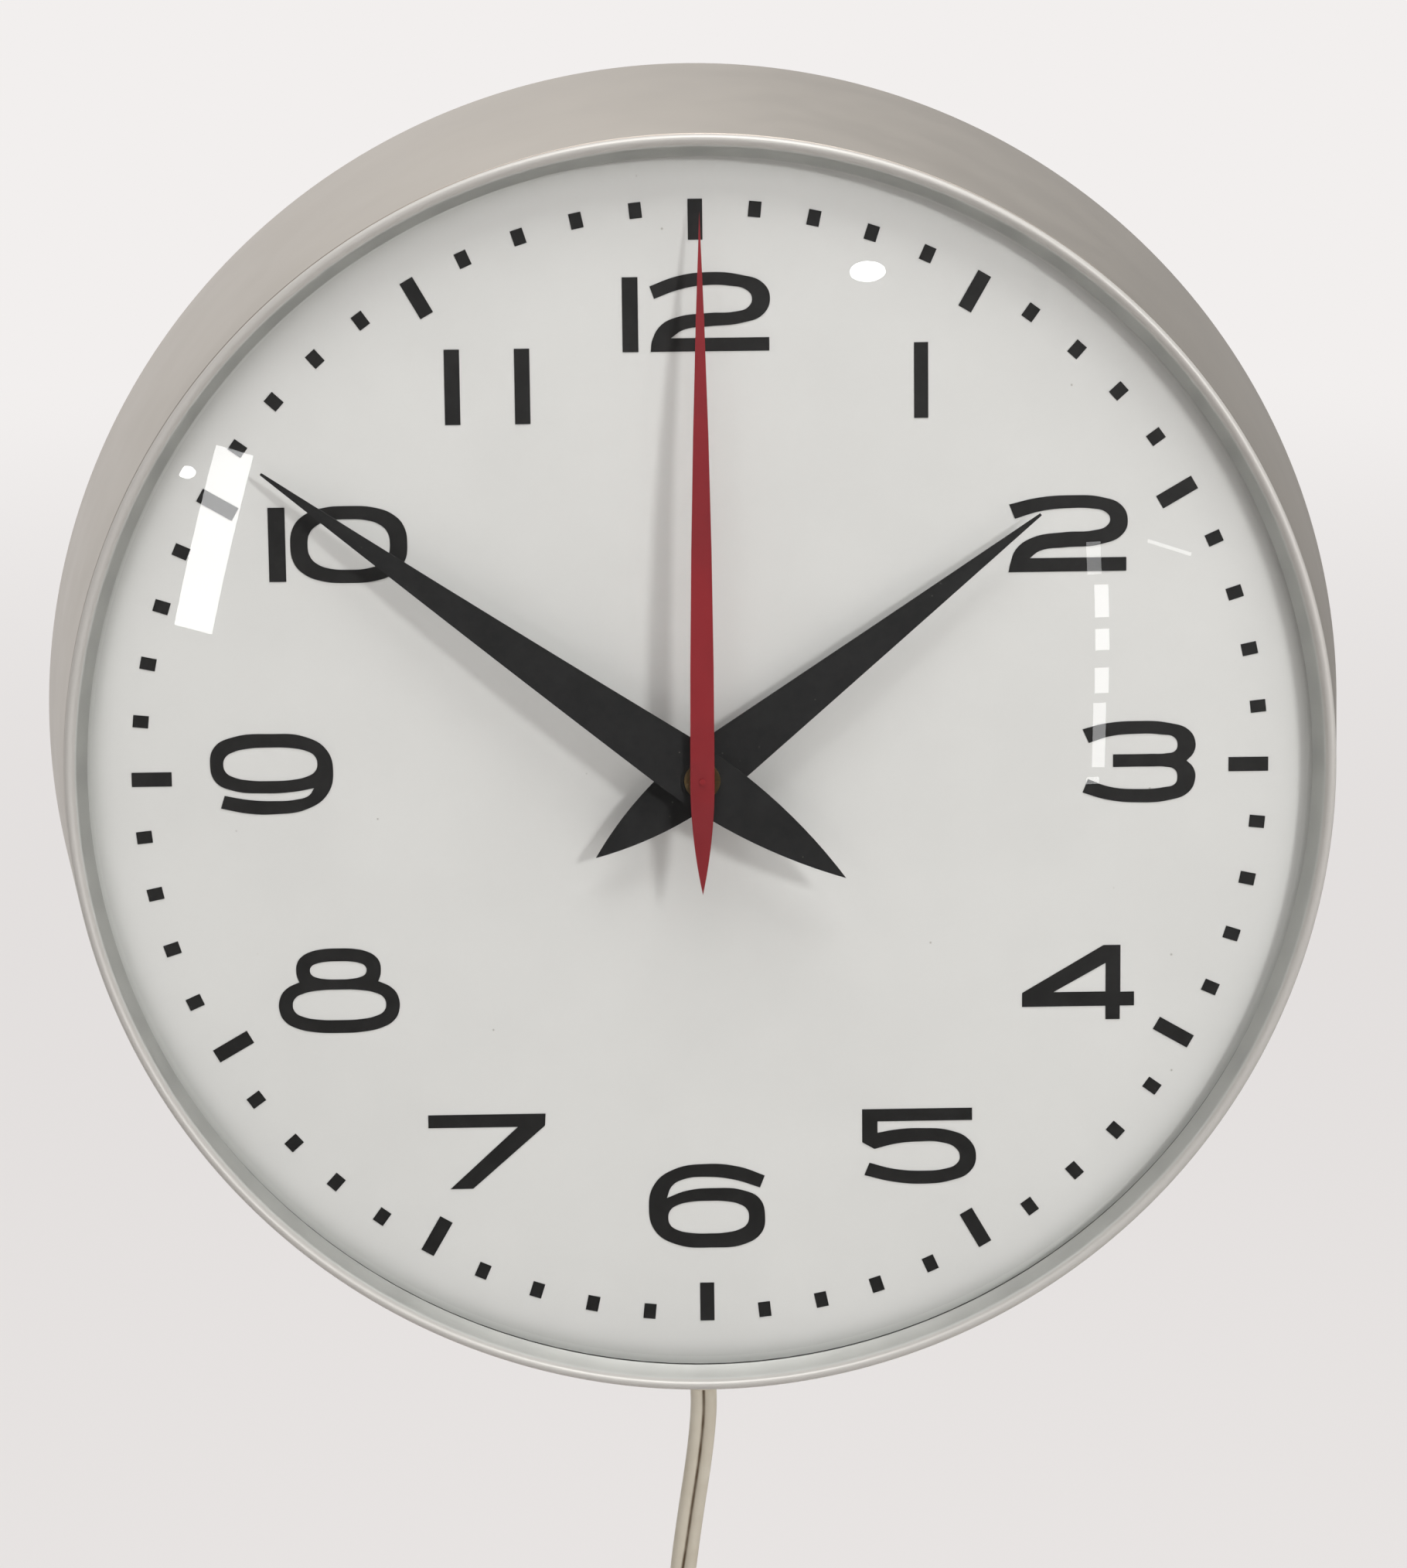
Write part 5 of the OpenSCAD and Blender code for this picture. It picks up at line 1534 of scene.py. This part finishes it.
@dataclass
class DialPrint:
    """Printed hour numerals. In a loop, a point is x,y and a corner has ! after it."""

    face: float = 92.0
    ink: float = 0.15
    curve_steps: int = 6
    numerals: dict[str, tuple[str, ...]] = field(default_factory=lambda: {
        "twelve": (
            bar(-18.2, -14.3, 105.1, 123.5),
            "-11.4,121.2! -5,123.5 2.2,124.5 11,123.8 16.7,121.6 18.25,118 16.6,114.1 11.3,112 "
            "3,111.2 -3.2,110.4 -6.3,108.4! 18,108.4! 18,105.1! -11.3,105.1! -10.8,108.2 "
            "-8.7,111.6 -5.3,113.4 3,114.5 9.7,114.8 12.9,115.9 13.8,118.2 12.4,120.1 8.5,121.1 "
            "2,121.3 -4.5,120.2 -10.3,118.1!"),
        "one": (bar(53.7, 57.2, 88, 106.7),),
        "two": (
            "77.25,66.2! 84.5,67.8 92.7,68.3 100.5,67.7 105.2,65.7 106.8,62 105.6,58.5 "
            "100.2,56 91,55.3 84.9,54.5 82.4,52.7! 106.5,52.7! 106.5,49.25! 77.1,49.25! "
            "77.6,51.6 78.9,54.9 82.7,57.7 91,59.1 98.5,59.5 101.6,60.6 102.4,62.3 101.3,64 "
            "98,64.9 92.7,65.1 85,64.4 78.7,62.6!",),
        "three": (
            "95.7,9.4! 101.5,10.8 109,11.3 117.5,10.7 122.4,8.9 124.1,5.7 123.6,3 121.9,1.1! "
            "123.6,-0.7 124.1,-3.5 122.4,-7 117.5,-8.9 109.8,-9.4 102,-8.6 95.75,-6.7! "
            "97.1,-3.3! 102.5,-5.3 109.8,-6 116.3,-5.6 119,-4.8 119.6,-3.1 119,-1.2 116.5,-0.4 "
            "113,-0.3 103.4,-0.3! 103.4,2.9! 113,2.9 116.8,3 119,3.6 119.6,5.25 118.8,7 "
            "115.5,7.8 109,8.05 102.5,7.5 97.3,5.9!",),
        "four": (
            "101.2,-45.9! 105.5,-45.9! 105.5,-58! 109,-58! 109,-61.6! 105.4,-61.6! 105.4,-65.1! "
            "101.75,-65.1! 101.75,-61.6! 80.6,-61.6! 80.6,-58!",
            "88.5,-57.9! 101.75,-57.9! 101.75,-50.5!"),
        "five": (
            "39.9,-87.6! 67.9,-87.6! 67.9,-90.8! 43.8,-90.8! 43.8,-93.8! 48.5,-93 54.7,-92.75 "
            "62.5,-93.5 67.2,-96 68.9,-100.2 67.3,-104.3 62.5,-106.5 55.5,-107.3 47.5,-106.6 "
            "40.4,-104.8! 41.7,-101.6! 48,-103.3 55.5,-103.9 60.7,-103.5 63.8,-102.3 "
            "64.75,-100.4 63.6,-98 60,-96.5 54.5,-96.2 48.3,-96.7 43,-98! 39.9,-96.2!",),
        "six": (
            "15,-104.5! 8.5,-102.1 -0.2,-101.25 -8.3,-102.6 -13.1,-106.3 -14.6,-112.3 "
            "-13.1,-118.6 -7.8,-122.2 1.5,-123.2 10,-122.3 14.1,-119.4 15,-115.2 13.7,-110.6 "
            "9.5,-108.3 2,-107.6 -5,-108.2 -10,-110! -8.6,-106.8 -5.5,-105.1 -0.2,-104.6 "
            "7,-105.4 13.75,-107.6!",
            Bowl(-9.7, 10.9, -119.5, -110.9).sweep()),
        "seven": (
            "-70.3,-87.4! -40.5,-87.4! -40.7,-90.5! -59.25,-106.75! -65,-106.75! -47.6,-90.75! "
            "-70.3,-90.75!",),
        "eight": (
            Bowl(-107.2, -76.9, -65.6, -51.4).sweep(128, 412, 14) + " -82.15,-52.4! "
            + Bowl(-102.7, -81.4, -55.1, -43.8).sweep(-20, 200, 12) + " -101.95,-52.4!",
            Bowl(-99.25, -85, -51.8, -47.1).sweep(),
            Bowl(-103.8, -80.25, -62.3, -54.4).sweep()),
        "nine": (
            "-120.4,-7.6! -113.5,-9 -107,-9.25 -98.7,-8 -93.7,-4.4 -92.1,1.5 -93.7,7 -99,10.3 "
            "-107.5,11.1 -117,10.4 -121.6,8 -122.8,3.6 -121.5,-0.9 -117.3,-3.1 -109.5,-3.9 "
            "-102,-3.6 -97,-2.75! -98.3,-4.6 -101.5,-5.6 -107,-5.9 -113.5,-5.5 -119.4,-4.4!",
            Bowl(-119.5, -96, -0.8, 7.7).sweep()),
        "ten": (
            bar(-106.7, -102.5, 49.3, 67.8),
            Bowl(-101.3, -72.3, 48.8, 68).sweep(), Bowl(-97, -76.6, 52.1, 64.7).sweep()),
        "eleven": (bar(-62.3, -58.5, 87.7, 106.3), bar(-45, -41.2, 87.7, 106.3))})

    def loop(self, curve: bpy.types.Curve, words: str) -> None:
        """Adds one closed loop to a flat curve, in millimetres.

        Args:
            curve: The flat curve.
            words: The loop's points, from bar(), sweep() or a numeral's own text.
        """
        marks = words.split()
        spline = curve.splines.new("BEZIER")
        spline.bezier_points.add(len(marks) - 1)
        for point, mark in zip(spline.bezier_points, marks):
            x, y = (float(n) for n in mark.rstrip("!").split(","))
            point.co = (x, y, 0)
            kind = "VECTOR" if mark.endswith("!") else "AUTO"
            point.handle_left_type = point.handle_right_type = kind
        spline.use_cyclic_u = True
        spline.resolution_u = self.curve_steps

    def numeral(self, name: str, loops: Sequence[str]) -> Piece:
        """Prints one numeral as a thin solid layer on the dial.

        Args:
            name: The hour in words.
            loops: Its outer loops and the loops of its holes.

        Returns:
            The printed numeral.
        """
        curve = bpy.data.curves.new(name, "CURVE")
        curve.dimensions = "2D"
        curve.fill_mode = "BOTH"
        curve.extrude = self.ink / 2
        for words in loops:
            self.loop(curve, words)
        piece = bpy.data.objects.new(f"numeral_{name}", curve)
        bpy.context.scene.collection.objects.link(piece)
        focus(piece)
        bpy.ops.object.convert(target="MESH")
        piece = started(f"numeral_{name}")
        piece.rotation_euler = (math.pi / 2, 0, 0)
        piece.scale = (MM, MM, MM)
        piece.location = spot(0, 0, self.face + self.ink / 2)
        settle_place(piece)
        bpy.ops.object.mode_set(mode="EDIT")
        tidy_shell()
        return hand_over(piece, "dial_print")

    def build(self) -> list[Piece]:
        """Prints the twelve numerals."""
        return [self.numeral(name, loops) for name, loops in self.numerals.items()]


# Back of the clock

@dataclass
class BackCover:
    """Pressed cover with a raised pan, a ring bead, air slots, a keyhole and a knob pocket."""

    pan: float = 150.0
    rim: float = 172.7
    rim_level: float = 3.0
    sheet: float = 1.0
    ring_inner: float = 94.0
    ring_outer: float = 102.0
    ring_rise: float = 1.2
    pocket_at: Pair = SETTING_AT
    pocket: float = 16.0
    pocket_depth: float = 15.0
    pocket_sides: int = 96
    arbor_hole: float = 2.5
    key_level: float = 118.0
    key_radius: float = 5.5
    key_slot: float = 5.0
    key_reach: float = 12.0
    vent_x: float = 48.0
    vent_low: float = -62.0
    vent_pitch: float = 8.0
    vent_count: int = 5
    vent_size: Pair = (30.0, 3.0)
    screw_circle: float = SCREW_CIRCLE
    screw_hole: float = 2.15
    steps: int = 182

    def outline(self) -> list[Pair]:
        """Section of the cover, from the middle of its back round to the middle inside.

        Returns:
            Radius and level of each point.
        """
        t, ri, ro, up = self.sheet, self.ring_inner, self.ring_outer, self.ring_rise
        return rounded([
            (0, 0), (ri + 0.6, 0, 0.9), (ri + 1.4, up, 0.7), (ro - 1.4, up, 0.7),
            (ro - 0.6, 0, 0.9),
            (self.pan, 0, 1.6), (self.pan, self.rim_level, 0.6), (self.rim, self.rim_level, 0.4),
            (self.rim, self.rim_level + t, 0.4), (self.pan - t, self.rim_level + t, 1.2),
            (self.pan - t, t, 0.7), (ro, t, 0.6), (ro - 0.8, up + t, 0.8), (ri + 0.8, up + t, 0.8),
            (ri, t, 0.6), (0, t)], closed=False)

    def flatten(self, piece: Piece) -> None:
        """Makes one face of each side of the flat inside the ring bead.

        Args:
            piece: The spun cover.
        """
        focus(piece)
        bpy.ops.object.mode_set(mode="EDIT")
        for level in (0, self.sheet):
            pick(piece, Part.FACES, lambda f: all(
                abs(v.co.y + level * MM) < 0.01 * MM
                and math.hypot(v.co.x, v.co.z) < self.ring_inner * MM for v in f.verts))
            bpy.ops.mesh.dissolve_faces()
        bpy.ops.object.mode_set(mode="OBJECT")

    def slot_tool(self, x: float, y: float, size: Pair, upright: bool = False) -> Piece:
        """Tool that cuts a slot with round ends: a rod drawn out from its middle both ways.

        Args:
            x: Place of the slot's middle across the cover.
            y: Place of the slot's middle up the cover.
            size: Length and width of the slot.
            upright: Whether the slot runs upright.

        Returns:
            The tool.
        """
        length, width = size
        way = spot(0, 1, 0) if upright else spot(1, 0, 0)
        middle = spot(x, y, 0)
        tool = rod("slot_tool", width / 2, spot(x, y, -2.5), spot(x, y, 3.5), 38)
        focus(tool)
        bpy.ops.object.mode_set(mode="EDIT")
        for side in (-1, 1):
            pick(tool, Part.VERTS, lambda v: (v.co - middle).dot(way) * side > 0)
            bpy.ops.transform.translate(value=way * side * (length - width) / 2)
        bpy.ops.object.mode_set(mode="OBJECT")
        return tool

    def build(self) -> Piece:
        """Spins the cover, adds the pocket and cuts the openings.

        Returns:
            The cover.
        """
        piece = turn("rear_cover", self.outline(), steps=self.steps, closed=False)
        self.flatten(piece)
        x, y = self.pocket_at
        deep, sides = self.pocket_depth, self.pocket_sides
        cup = rod("cup", self.pocket + self.sheet, spot(x, y, 0.2), spot(x, y, deep), sides)
        ease_edges(cup, 1.6, 5)
        cut(piece, cup, Cutting.TOGETHER)
        hollow = rod("hollow", self.pocket, spot(x, y, -2), spot(x, y, deep - self.sheet), sides)
        ease_edges(hollow, 0.9, 4)
        cut(piece, hollow)
        cut(piece, rod("drill", self.arbor_hole, spot(x, y, 5), spot(x, y, 20), 32))
        cut(piece, rod("drill", self.key_radius, spot(0, self.key_level, -2),
                       spot(0, self.key_level, 4), 64))
        cut(piece, self.slot_tool(0, self.key_level + self.key_reach / 2,
                                  (self.key_reach + self.key_slot, self.key_slot), upright=True))
        for side in (-1, 1):
            for k in range(self.vent_count):
                cut(piece, self.slot_tool(side * self.vent_x, self.vent_low + k * self.vent_pitch,
                                          self.vent_size))
        for x, y in screw_places(self.screw_circle):
            cut(piece, rod("drill", self.screw_hole, spot(x, y, 0), spot(x, y, 6), 32))
        smooth(piece, 28)
        return hand_over(piece, "cover_paint", "back_cover")


@dataclass
class CoverScrews:
    """Slotted pan-head screws that hold the back cover."""

    circle: float = SCREW_CIRCLE
    head: float = 3.6
    shank: float = 1.9
    head_level: float = 0.8
    seat: float = 3.0
    end: float = 8.0
    slot: Triple = (8, 1.6, 0.9)

    def build(self) -> Piece:
        """Turns one screw, slots it, and copies it round the cover.

        Returns:
            The screws as one piece.
        """
        at = spot(self.circle, 0, 0)
        outline = rounded([
            (0, self.head_level), (self.head - 0.1, self.head_level + 0.25, 0.9),
            (self.head, self.seat, 0.15), (self.shank, self.seat), (self.shank, self.end, 0.4),
            (0, self.end)], closed=False)
        screw = turn("cover_screw", outline, at=at, steps=40, closed=False)
        cut(screw, block("slot_tool", at + spot(0, 0, self.head_level), self.slot))
        screws = [twin(screw, f"screw_{k}", Matrix.Rotation(angle, 4, "Y"))
                  for k, angle in enumerate(SCREW_ANGLES)]
        bpy.data.objects.remove(screw)
        piece = joined(screws, "cover_screw_set")
        smooth(piece)
        return hand_over(piece, "plated_steel", "cover_screws")


@dataclass
class SettingKnob:
    """Fluted knob in the pocket, dished on the side that the fingers reach."""

    at: Pair = SETTING_AT
    radius: float = 9.0
    level: float = 1.4
    height: float = 10.0
    dish: float = 0.9
    bore: float = 1.5
    socket_floor: float = 2.2
    flutes: int = 24
    flute_depth: float = 0.6
    flute_half: float = 0.26
    side_margin: float = 0.75

    def build(self) -> Piece:
        """Turns the knob, flutes its side and rounds its edges.

        Returns:
            The knob.
        """
        near, far = self.level, self.level + self.height
        dish, socket = near + self.dish, near + self.socket_floor
        outline = rounded([
            (0, dish), (self.radius - 2.9, dish, 0.5), (self.radius - 2.3, near, 0.5),
            (self.radius, near, 0.7), (self.radius, far - 2), (self.radius - 0.7, far - 2, 0.2),
            (self.radius / 2, far, 0.5), (self.bore, far), (self.bore, socket), (0, socket)],
            closed=False)
        middle = spot(*self.at, 0)
        piece = turn("setting_grip", outline, at=middle, steps=self.flutes * 6, closed=False)
        focus(piece)
        bpy.ops.object.mode_set(mode="EDIT")
        pick(piece, Part.VERTS, lambda v: self.in_flute(v.co - middle))
        share = 1 - self.flute_depth / self.radius
        bpy.ops.transform.resize(value=(share, 1, share), center_override=middle)
        bpy.ops.object.mode_set(mode="OBJECT")
        smooth(piece, 25)
        return hand_over(piece, "knob_plastic", "set_knob", body=SETTING)

    def in_flute(self, offset: Vector) -> bool:
        """Whether a point of the knob's side lies in one of its flutes.

        Args:
            offset: The point, in metres from the knob's middle.

        Returns:
            Whether it lies in a flute.
        """
        if math.hypot(offset.x, offset.z) < (self.radius - self.side_margin) * MM:
            return False
        count = math.atan2(offset.z, offset.x) / math.tau * self.flutes
        return abs(count - round(count)) < self.flute_half


# Studio

@dataclass(frozen=True)
class Lamp:
    """Area lamp with its place, aim, size in metres and power in watts."""

    name: str
    place: Triple
    size: Pair
    power: float
    lean: float = 0.0
    round_face: bool = False
    in_glass: bool = True

    def build(self, glass: Piece) -> None:
        """Hangs the lamp, aimed at the dial.

        Args:
            glass: The glass, which a lamp that would hide the dial isn't mirrored in.
        """
        data = bpy.data.lights.new(self.name, "AREA")
        data.shape = "ELLIPSE" if self.round_face else "RECTANGLE"
        data.size, data.size_y = self.size
        data.energy = self.power
        lamp = bpy.data.objects.new(self.name, data)
        bpy.context.scene.collection.objects.link(lamp)
        lamp.location = self.place
        aim = (DIAL_MIDDLE - lamp.location).to_track_quat("-Z", "Y").to_matrix()
        lamp.rotation_euler = (aim @ Matrix.Rotation(math.radians(self.lean), 3, "Z")).to_euler()
        lamp.visible_camera = lamp.visible_transmission = False
        if not self.in_glass:
            spared = bpy.data.collections.new(f"{self.name}_spares")
            spared.objects.link(glass)
            spared.collection_objects[0].light_linking.link_state = "EXCLUDE"
            lamp.light_linking.receiver_collection = spared


@dataclass
class Studio:
    """Pale floor, even surround, soft lamps from the upper right and small ones for the glass."""

    floor_level: float = -0.6
    floor_size: float = 60.0
    floor_tint: str = "#ECE8E6"
    floor_glow: float = 0.64
    floor_fade: Pair = (1.0, 9.0)
    surround: str = "#F2EFEE"
    fill: float = 0.38
    wall_fill: float = 0.9
    dim_front: float = 0.05
    side: float = 0.34
    wall_gain: float = 0.08
    left_gain: float = 0.72
    ceiling_gain: float = 1.6
    ground_loss: float = 0.26
    least: float = 0.02
    lamps: tuple[Lamp, ...] = (
        Lamp("key", (1.55, -2.35, 0.8), (0.36, 0.36), 25.0, in_glass=False),
        Lamp("sky", (0.2, -1.2, 2.5), (1.6, 1.2), 42.0, in_glass=False),
        Lamp("left_window", (-1.6, -2.75, 0.33), (0.14, 0.63), 2.4, lean=-12),
        Lamp("left_bulb", (-1.69, -2.7, 0.557), (0.065, 0.042), 0.15, round_face=True),
        Lamp("ceiling_bulb", (0.67, -3.0, 1.29), (0.13, 0.075), 0.55, round_face=True),
        Lamp("right_strip", (1.628, -2.7, 0.256), (0.165, 0.012), 0.028, lean=-20),
        Lamp("right_pane_a", (1.365, -2.78, 0.234), (0.05, 0.109), 0.075),
        Lamp("right_pane_b", (1.39, -2.78, 0.09), (0.05, 0.109), 0.11),
        Lamp("right_pane_c", (1.39, -2.78, -0.039), (0.05, 0.071), 0.075),
        Lamp("right_pane_d", (1.387, -2.78, -0.176), (0.05, 0.086), 0.085),
        Lamp("right_pane_e", (1.379, -2.78, -0.361), (0.045, 0.218), 0.17),
        Lamp("right_pane_f", (1.36, -2.78, -0.515), (0.045, 0.024), 0.018))

    def floor(self) -> None:
        """Lays the floor, which keeps the clock's shadow and fades to the surround far out."""
        deselect()
        bpy.ops.mesh.primitive_plane_add(size=self.floor_size, location=(0, 0, self.floor_level))
        piece = started("floor")
        piece.visible_glossy = piece.visible_transmission = False
        material = bpy.data.materials.new("pale_floor_paint")
        tree = cleared(material)
        matt = add_node(tree, "BsdfDiffuse", [linear(self.floor_tint)])
        glow = add_node(tree, "Emission", [linear(self.surround), 1.0])
        path = add_node(tree, "LightPath").outputs
        place = add_node(tree, "TexCoord").outputs["Object"]
        away = add_node(tree, "VectorMath", [place], operation="LENGTH").outputs["Value"]
        fade = add_node(tree, "MapRange", [away, *self.floor_fade, self.floor_glow, 1.0],
                        interpolation_type="SMOOTHSTEP")
        looked = add_node(tree, "Math", [path["Is Camera Ray"], path["Is Transmission Ray"]],
                          operation="MAXIMUM")
        seen = add_node(tree, "Math", [fade, looked], operation="MULTIPLY")
        add_node(tree, "OutputMaterial", [add_node(tree, "MixShader", [seen, matt, glow])])
        piece.data.materials.append(material)

    def world(self) -> None:
        """Surround that is white to look at, plain as a light, and a dim room in a mirror."""
        world = bpy.data.worlds.new("studio")
        bpy.context.scene.world = world
        tree = cleared(world)
        toward = add_node(tree, "TexCoord").outputs["Generated"]
        x, y, z = add_node(tree, "SeparateXYZ", [toward]).outputs
        room, behind, left, ceiling, ground, soft = (
            add_node(tree, "MapRange", ramp, interpolation_type="SMOOTHSTEP") for ramp in (
                (y, -0.8, -0.1, self.dim_front, self.side),
                (y, 0.0, 0.8, 0.0, 1.0),
                (x, 0.22, -0.4, self.wall_gain, self.wall_gain + self.left_gain),
                (z, 0.6, 0.97, 0.0, self.ceiling_gain),
                (z, -0.3, -0.9, 0.0, -self.ground_loss),
                (y, -0.1, 0.6, self.fill, self.wall_fill)))
        wall = add_node(tree, "Math", [behind, left], operation="MULTIPLY")
        for part in (wall, ceiling, ground):
            room = add_node(tree, "Math", [room, part], operation="ADD")
        room = add_node(tree, "Math", [room, self.least], operation="MAXIMUM")
        path = add_node(tree, "LightPath").outputs
        mirrored = add_node(tree, "Math", [path["Is Glossy Ray"], path["Is Transmission Ray"]],
                            operation="MAXIMUM")
        light = add_node(tree, "Mix", {0: mirrored, 2: soft, 3: room})
        strength = add_node(tree, "Mix", {0: path["Is Camera Ray"], 2: light, 3: 1.0})
        back = add_node(tree, "Background", [linear(self.surround), strength])
        add_node(tree, "OutputWorld", [back])

    def build(self, glass: Piece) -> None:
        """Sets the stage, the surround, the lamps and the plain view transform.

        Args:
            glass: The glass, which some lamps leave alone.
        """
        self.floor()
        self.world()
        for lamp in self.lamps:
            lamp.build(glass)
        bpy.context.scene.view_settings.view_transform = "Standard"


def dress_frame() -> None:
    """Gives every CAD node that still shows the finish of its record slot."""
    slots = {part["node"]: part["material_slot"] for part in frame["record"]["subparts"]}
    for name, node in frame["nodes"].items():
        if node.hide_render:
            continue
        finish = FINISH_OF_NODE.get(name, FINISH_OF[slots[name]]).material()
        for place in node.material_slots:
            place.material = finish
        LOG.info("%s: dressed in %s", name, finish.name)


def main() -> None:
    """Builds the clock around its frame, in order."""
    logging.basicConfig(level=logging.INFO, format="%(message)s")
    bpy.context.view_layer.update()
    deselect()
    Viewpoint().build()
    lead = MainsLead()
    cord, path = lead.build()
    fittings = LeadFittings().build()
    Case().build()
    glass = DomeGlass().build()
    DialPrint().build()
    BackCover().build()
    CoverScrews().build()
    SettingKnob().build()
    dress_frame()
    Studio().build(glass)


if __name__ == "__main__":
    main()
